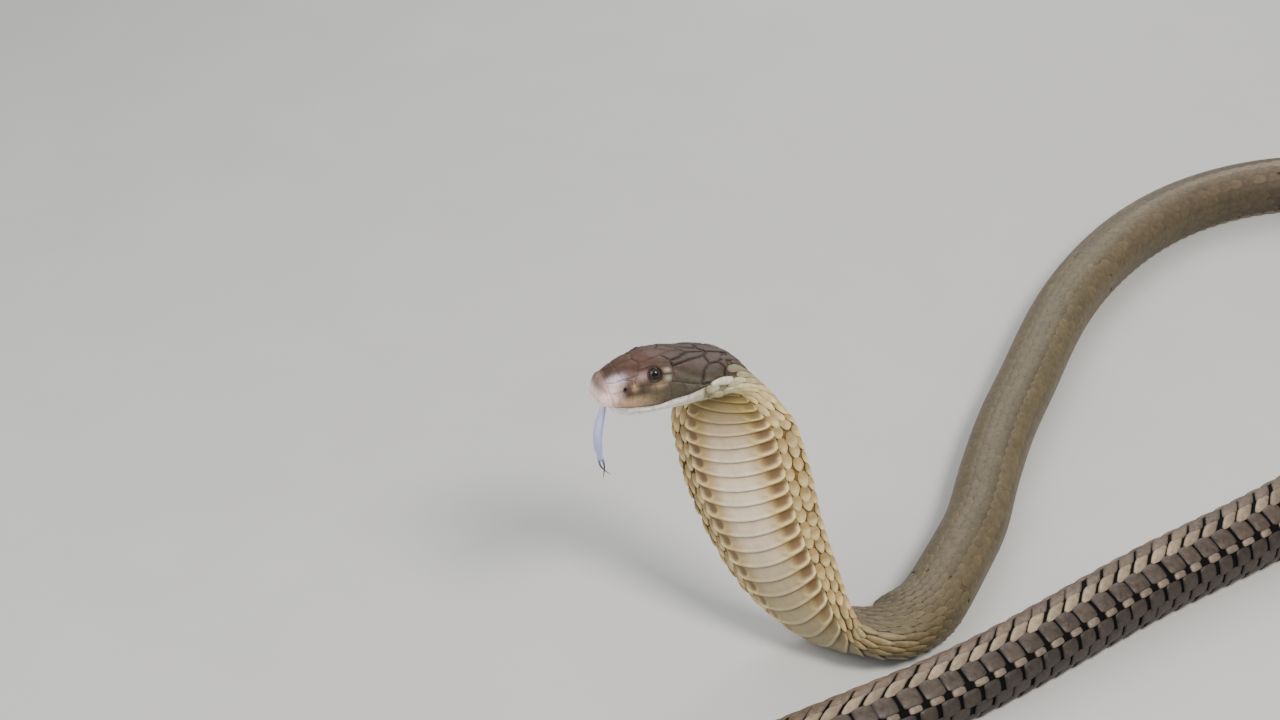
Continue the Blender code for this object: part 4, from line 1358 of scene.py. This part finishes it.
def build_tongue(material):
    """Stem of the tongue and its two tips, joined in one piece."""
    lip = float(smooth_table(TONGUE_BACK, HEAD_AT, MOUTH_LINE))
    stem = np.array([head_place(TONGUE_BACK, up=lip + 0.8), *TONGUE])
    path = even_path(stem, unit(stem[1] - stem[0]), STEM_RINGS)
    share = np.linspace(0, 1, STEM_RINGS)
    width = TONGUE_HALF_WIDTH * (1 - 0.12 * share - 0.3 * ramp(share, 0.75, 1.0))
    thick = TONGUE_HALF_THICKNESS * np.ones(STEM_RINGS)
    twist = math.radians(TONGUE_TWIST) * ramp(share, 0.08, 0.6)
    broad = RIGHT * math.cos(twist[-1]) + FORWARD * math.sin(twist[-1])
    strips = [(tongue_strip(path, width, thick, twist), FORK * share)]
    fall = unit(path[-1] - path[-2])
    taper = np.linspace(1.0, 0.14, TIP_RINGS)
    width = 0.36 * TONGUE_HALF_WIDTH * taper
    thick = 0.8 * TONGUE_HALF_THICKNESS * taper
    for side, tip in zip((-1, 1), TONGUE_TIPS):
        start = path[-1] - 3.0 * fall + 0.62 * side * broad
        bend = path[-1] + 3.0 * fall + 1.1 * side * broad
        tine = even_path([start, bend, np.array(tip)], fall, TIP_RINGS)
        rings = tongue_strip(tine, width, thick, np.full(TIP_RINGS, twist[-1]))
        strips.append((rings, FORK + (1 - FORK) * np.linspace(0, 1, TIP_RINGS)))
    tongue = Parts()
    for k, (rings, share) in enumerate(strips):
        where = joined([np.repeat(share, TONGUE_SIDES), share[[0, -1]]])
        around = np.tile(np.arange(TONGUE_SIDES) / TONGUE_SIDES, len(rings))
        around = joined([around, [0.5, 0.5]])
        colour = painted(
            TONGUE_LILAC,
            (TONGUE_BLUE, np.abs(np.cos(2 * math.pi * around)) ** 3),
            (TONGUE_PALE, ramp(where, 0.2, 0.6)),
            (TONGUE_DARK, ramp(where, 0.66, 0.9)))
        uv = np.stack([0.02 + 0.96 * where, (k + 0.05 + 0.9 * around) / 3], axis=1)
        points = joined([rings.reshape(-1, 3), rings[[0, -1]].mean(axis=1)])
        numbers = tongue.add(points, colour, uv)
        index = numbers[:-2].reshape(-1, TONGUE_SIDES)
        tongue.band(index)
        tongue.start(index[0], numbers[-2])
        tongue.end(index[-1], numbers[-1])
    return make_piece("forked_tongue", tongue, material, ("tongue",))


FLOOR_TONES = ((0.56, 0.55, 0.53, 1), (0.62, 0.61, 0.59, 1))


def build_floor():
    bpy.ops.mesh.primitive_plane_add(size=8.0, location=(0.0, 0.0, -0.0004))
    floor = bpy.context.object
    floor.name = "floor"
    n = Nodes("pale_floor")
    cloud = n.noise(Scale=14.0, Detail=4.0)
    shades = n.add("ShaderNodeValToRGB")
    for stop, tone in zip(shades.color_ramp.elements, FLOOR_TONES):
        stop.color = tone
    n.join(cloud, "Fac", shades, "Fac")
    n.join(shades, "Color", n.shader, "Base Color")
    n.shader.inputs["Roughness"].default_value = FLOOR_ROUGHNESS
    floor.data.materials.append(n.material)


def aim(obj, target):
    obj.rotation_euler = (Vector(target) - obj.location).to_track_quat("-Z", "Y").to_euler()


def area_light(name, place, target, power, size, colour):
    light = bpy.data.lights.new(name, "AREA")
    light.energy = power
    light.shape = "SQUARE"
    light.size = size
    light.color = colour
    obj = bpy.data.objects.new(name, light)
    bpy.context.scene.collection.objects.link(obj)
    obj.location = place
    aim(obj, target)


# Camera: at the photo's viewing angle, 33 degrees above the floor.
LOOK_AT = np.array([-50.0, 0.0, 155.0])
CAMERA_RISE = 33
CAMERA_FAR = 1070
LENS = 60
SENSOR = 36
# Lights: name, place, what it looks at, power, size and colour.
LIGHTS = (
    ("key", (0.55, -0.85, 1.35), (-0.05, -0.1, 0.08), 25, 0.45, (1, 0.97, 0.92)),
    ("fill", (-1, -0.6, 0.8), (-0.1, -0.1, 0.08), 8, 0.9, (0.93, 0.96, 1)),
    ("rim", (0.2, 1.1, 0.9), (0, 0, 0.08), 8, 0.8, (1, 1, 1)))
SKY_COLOUR = (0.92, 0.95, 1, 1)
SKY_STRENGTH = 0.45
FLOOR_ROUGHNESS = 0.85


def build_stage():
    scene = bpy.context.scene
    target = Vector(to_model(LOOK_AT))
    rise = math.radians(CAMERA_RISE)
    camera = bpy.data.objects.new("camera", bpy.data.cameras.new("camera"))
    scene.collection.objects.link(camera)
    camera.location = target + CAMERA_FAR * MM * Vector((0, -math.cos(rise), math.sin(rise)))
    aim(camera, target)
    camera.data.lens = LENS
    camera.data.sensor_width = SENSOR
    camera.data.clip_start = 0.01
    scene.camera = camera
    world = bpy.data.worlds.new("soft_light")
    world.use_nodes = True
    background = world.node_tree.nodes["Background"]
    background.inputs["Color"].default_value = SKY_COLOUR
    background.inputs["Strength"].default_value = SKY_STRENGTH
    scene.world = world
    for light in LIGHTS:
        area_light(*light)
    build_floor()


shields = organic_material("shields", 0.46, 1100.0, 0.30, 0.24, specular=0.2)
dull_skin = organic_material("dull_skin", 0.80, 900.0, 0.30, 0.20, specular=0.12)
scale_look = organic_material("scales", 0.52, 900.0, 0.40, 0.24, specular=0.4, coat=0.04)
plate_look = organic_material("plates", 0.44, 700.0, 0.24, 0.10, coat=0.1)
tongue_look = organic_material("tongue_skin", 0.24, 1500.0, 0.25, 0.06, coat=0.6)

build_skin(shields, dull_skin)
scales = scale_lattice()
half = scales["rows"] / 2
right_side = scales["row"] < half
across = np.abs(scales["row"] - half) / half
middle = across < MIDDLE_ROWS
low = across > LOW_ROWS
upper = ~middle & ~low
COAT_PIECES = (
    ("scales_back", middle, "olive_scales"),
    ("scales_right", upper & right_side, "banded_scales"),
    ("scales_left", upper & ~right_side, "banded_scales"),
    ("scales_low_right", low & right_side, "banded_scales"),
    ("scales_low_left", low & ~right_side, "banded_scales"))
for name, chosen, slot in COAT_PIECES:
    build_scales(name, part_of(scales, chosen), scale_look)
build_plates(plate_look)
build_tongue(tongue_look)
wet = eye_material()
build_eye(1, "eye_right", wet)
build_eye(-1, "eye_left", wet)
build_stage()

bpy.context.view_layer.update()
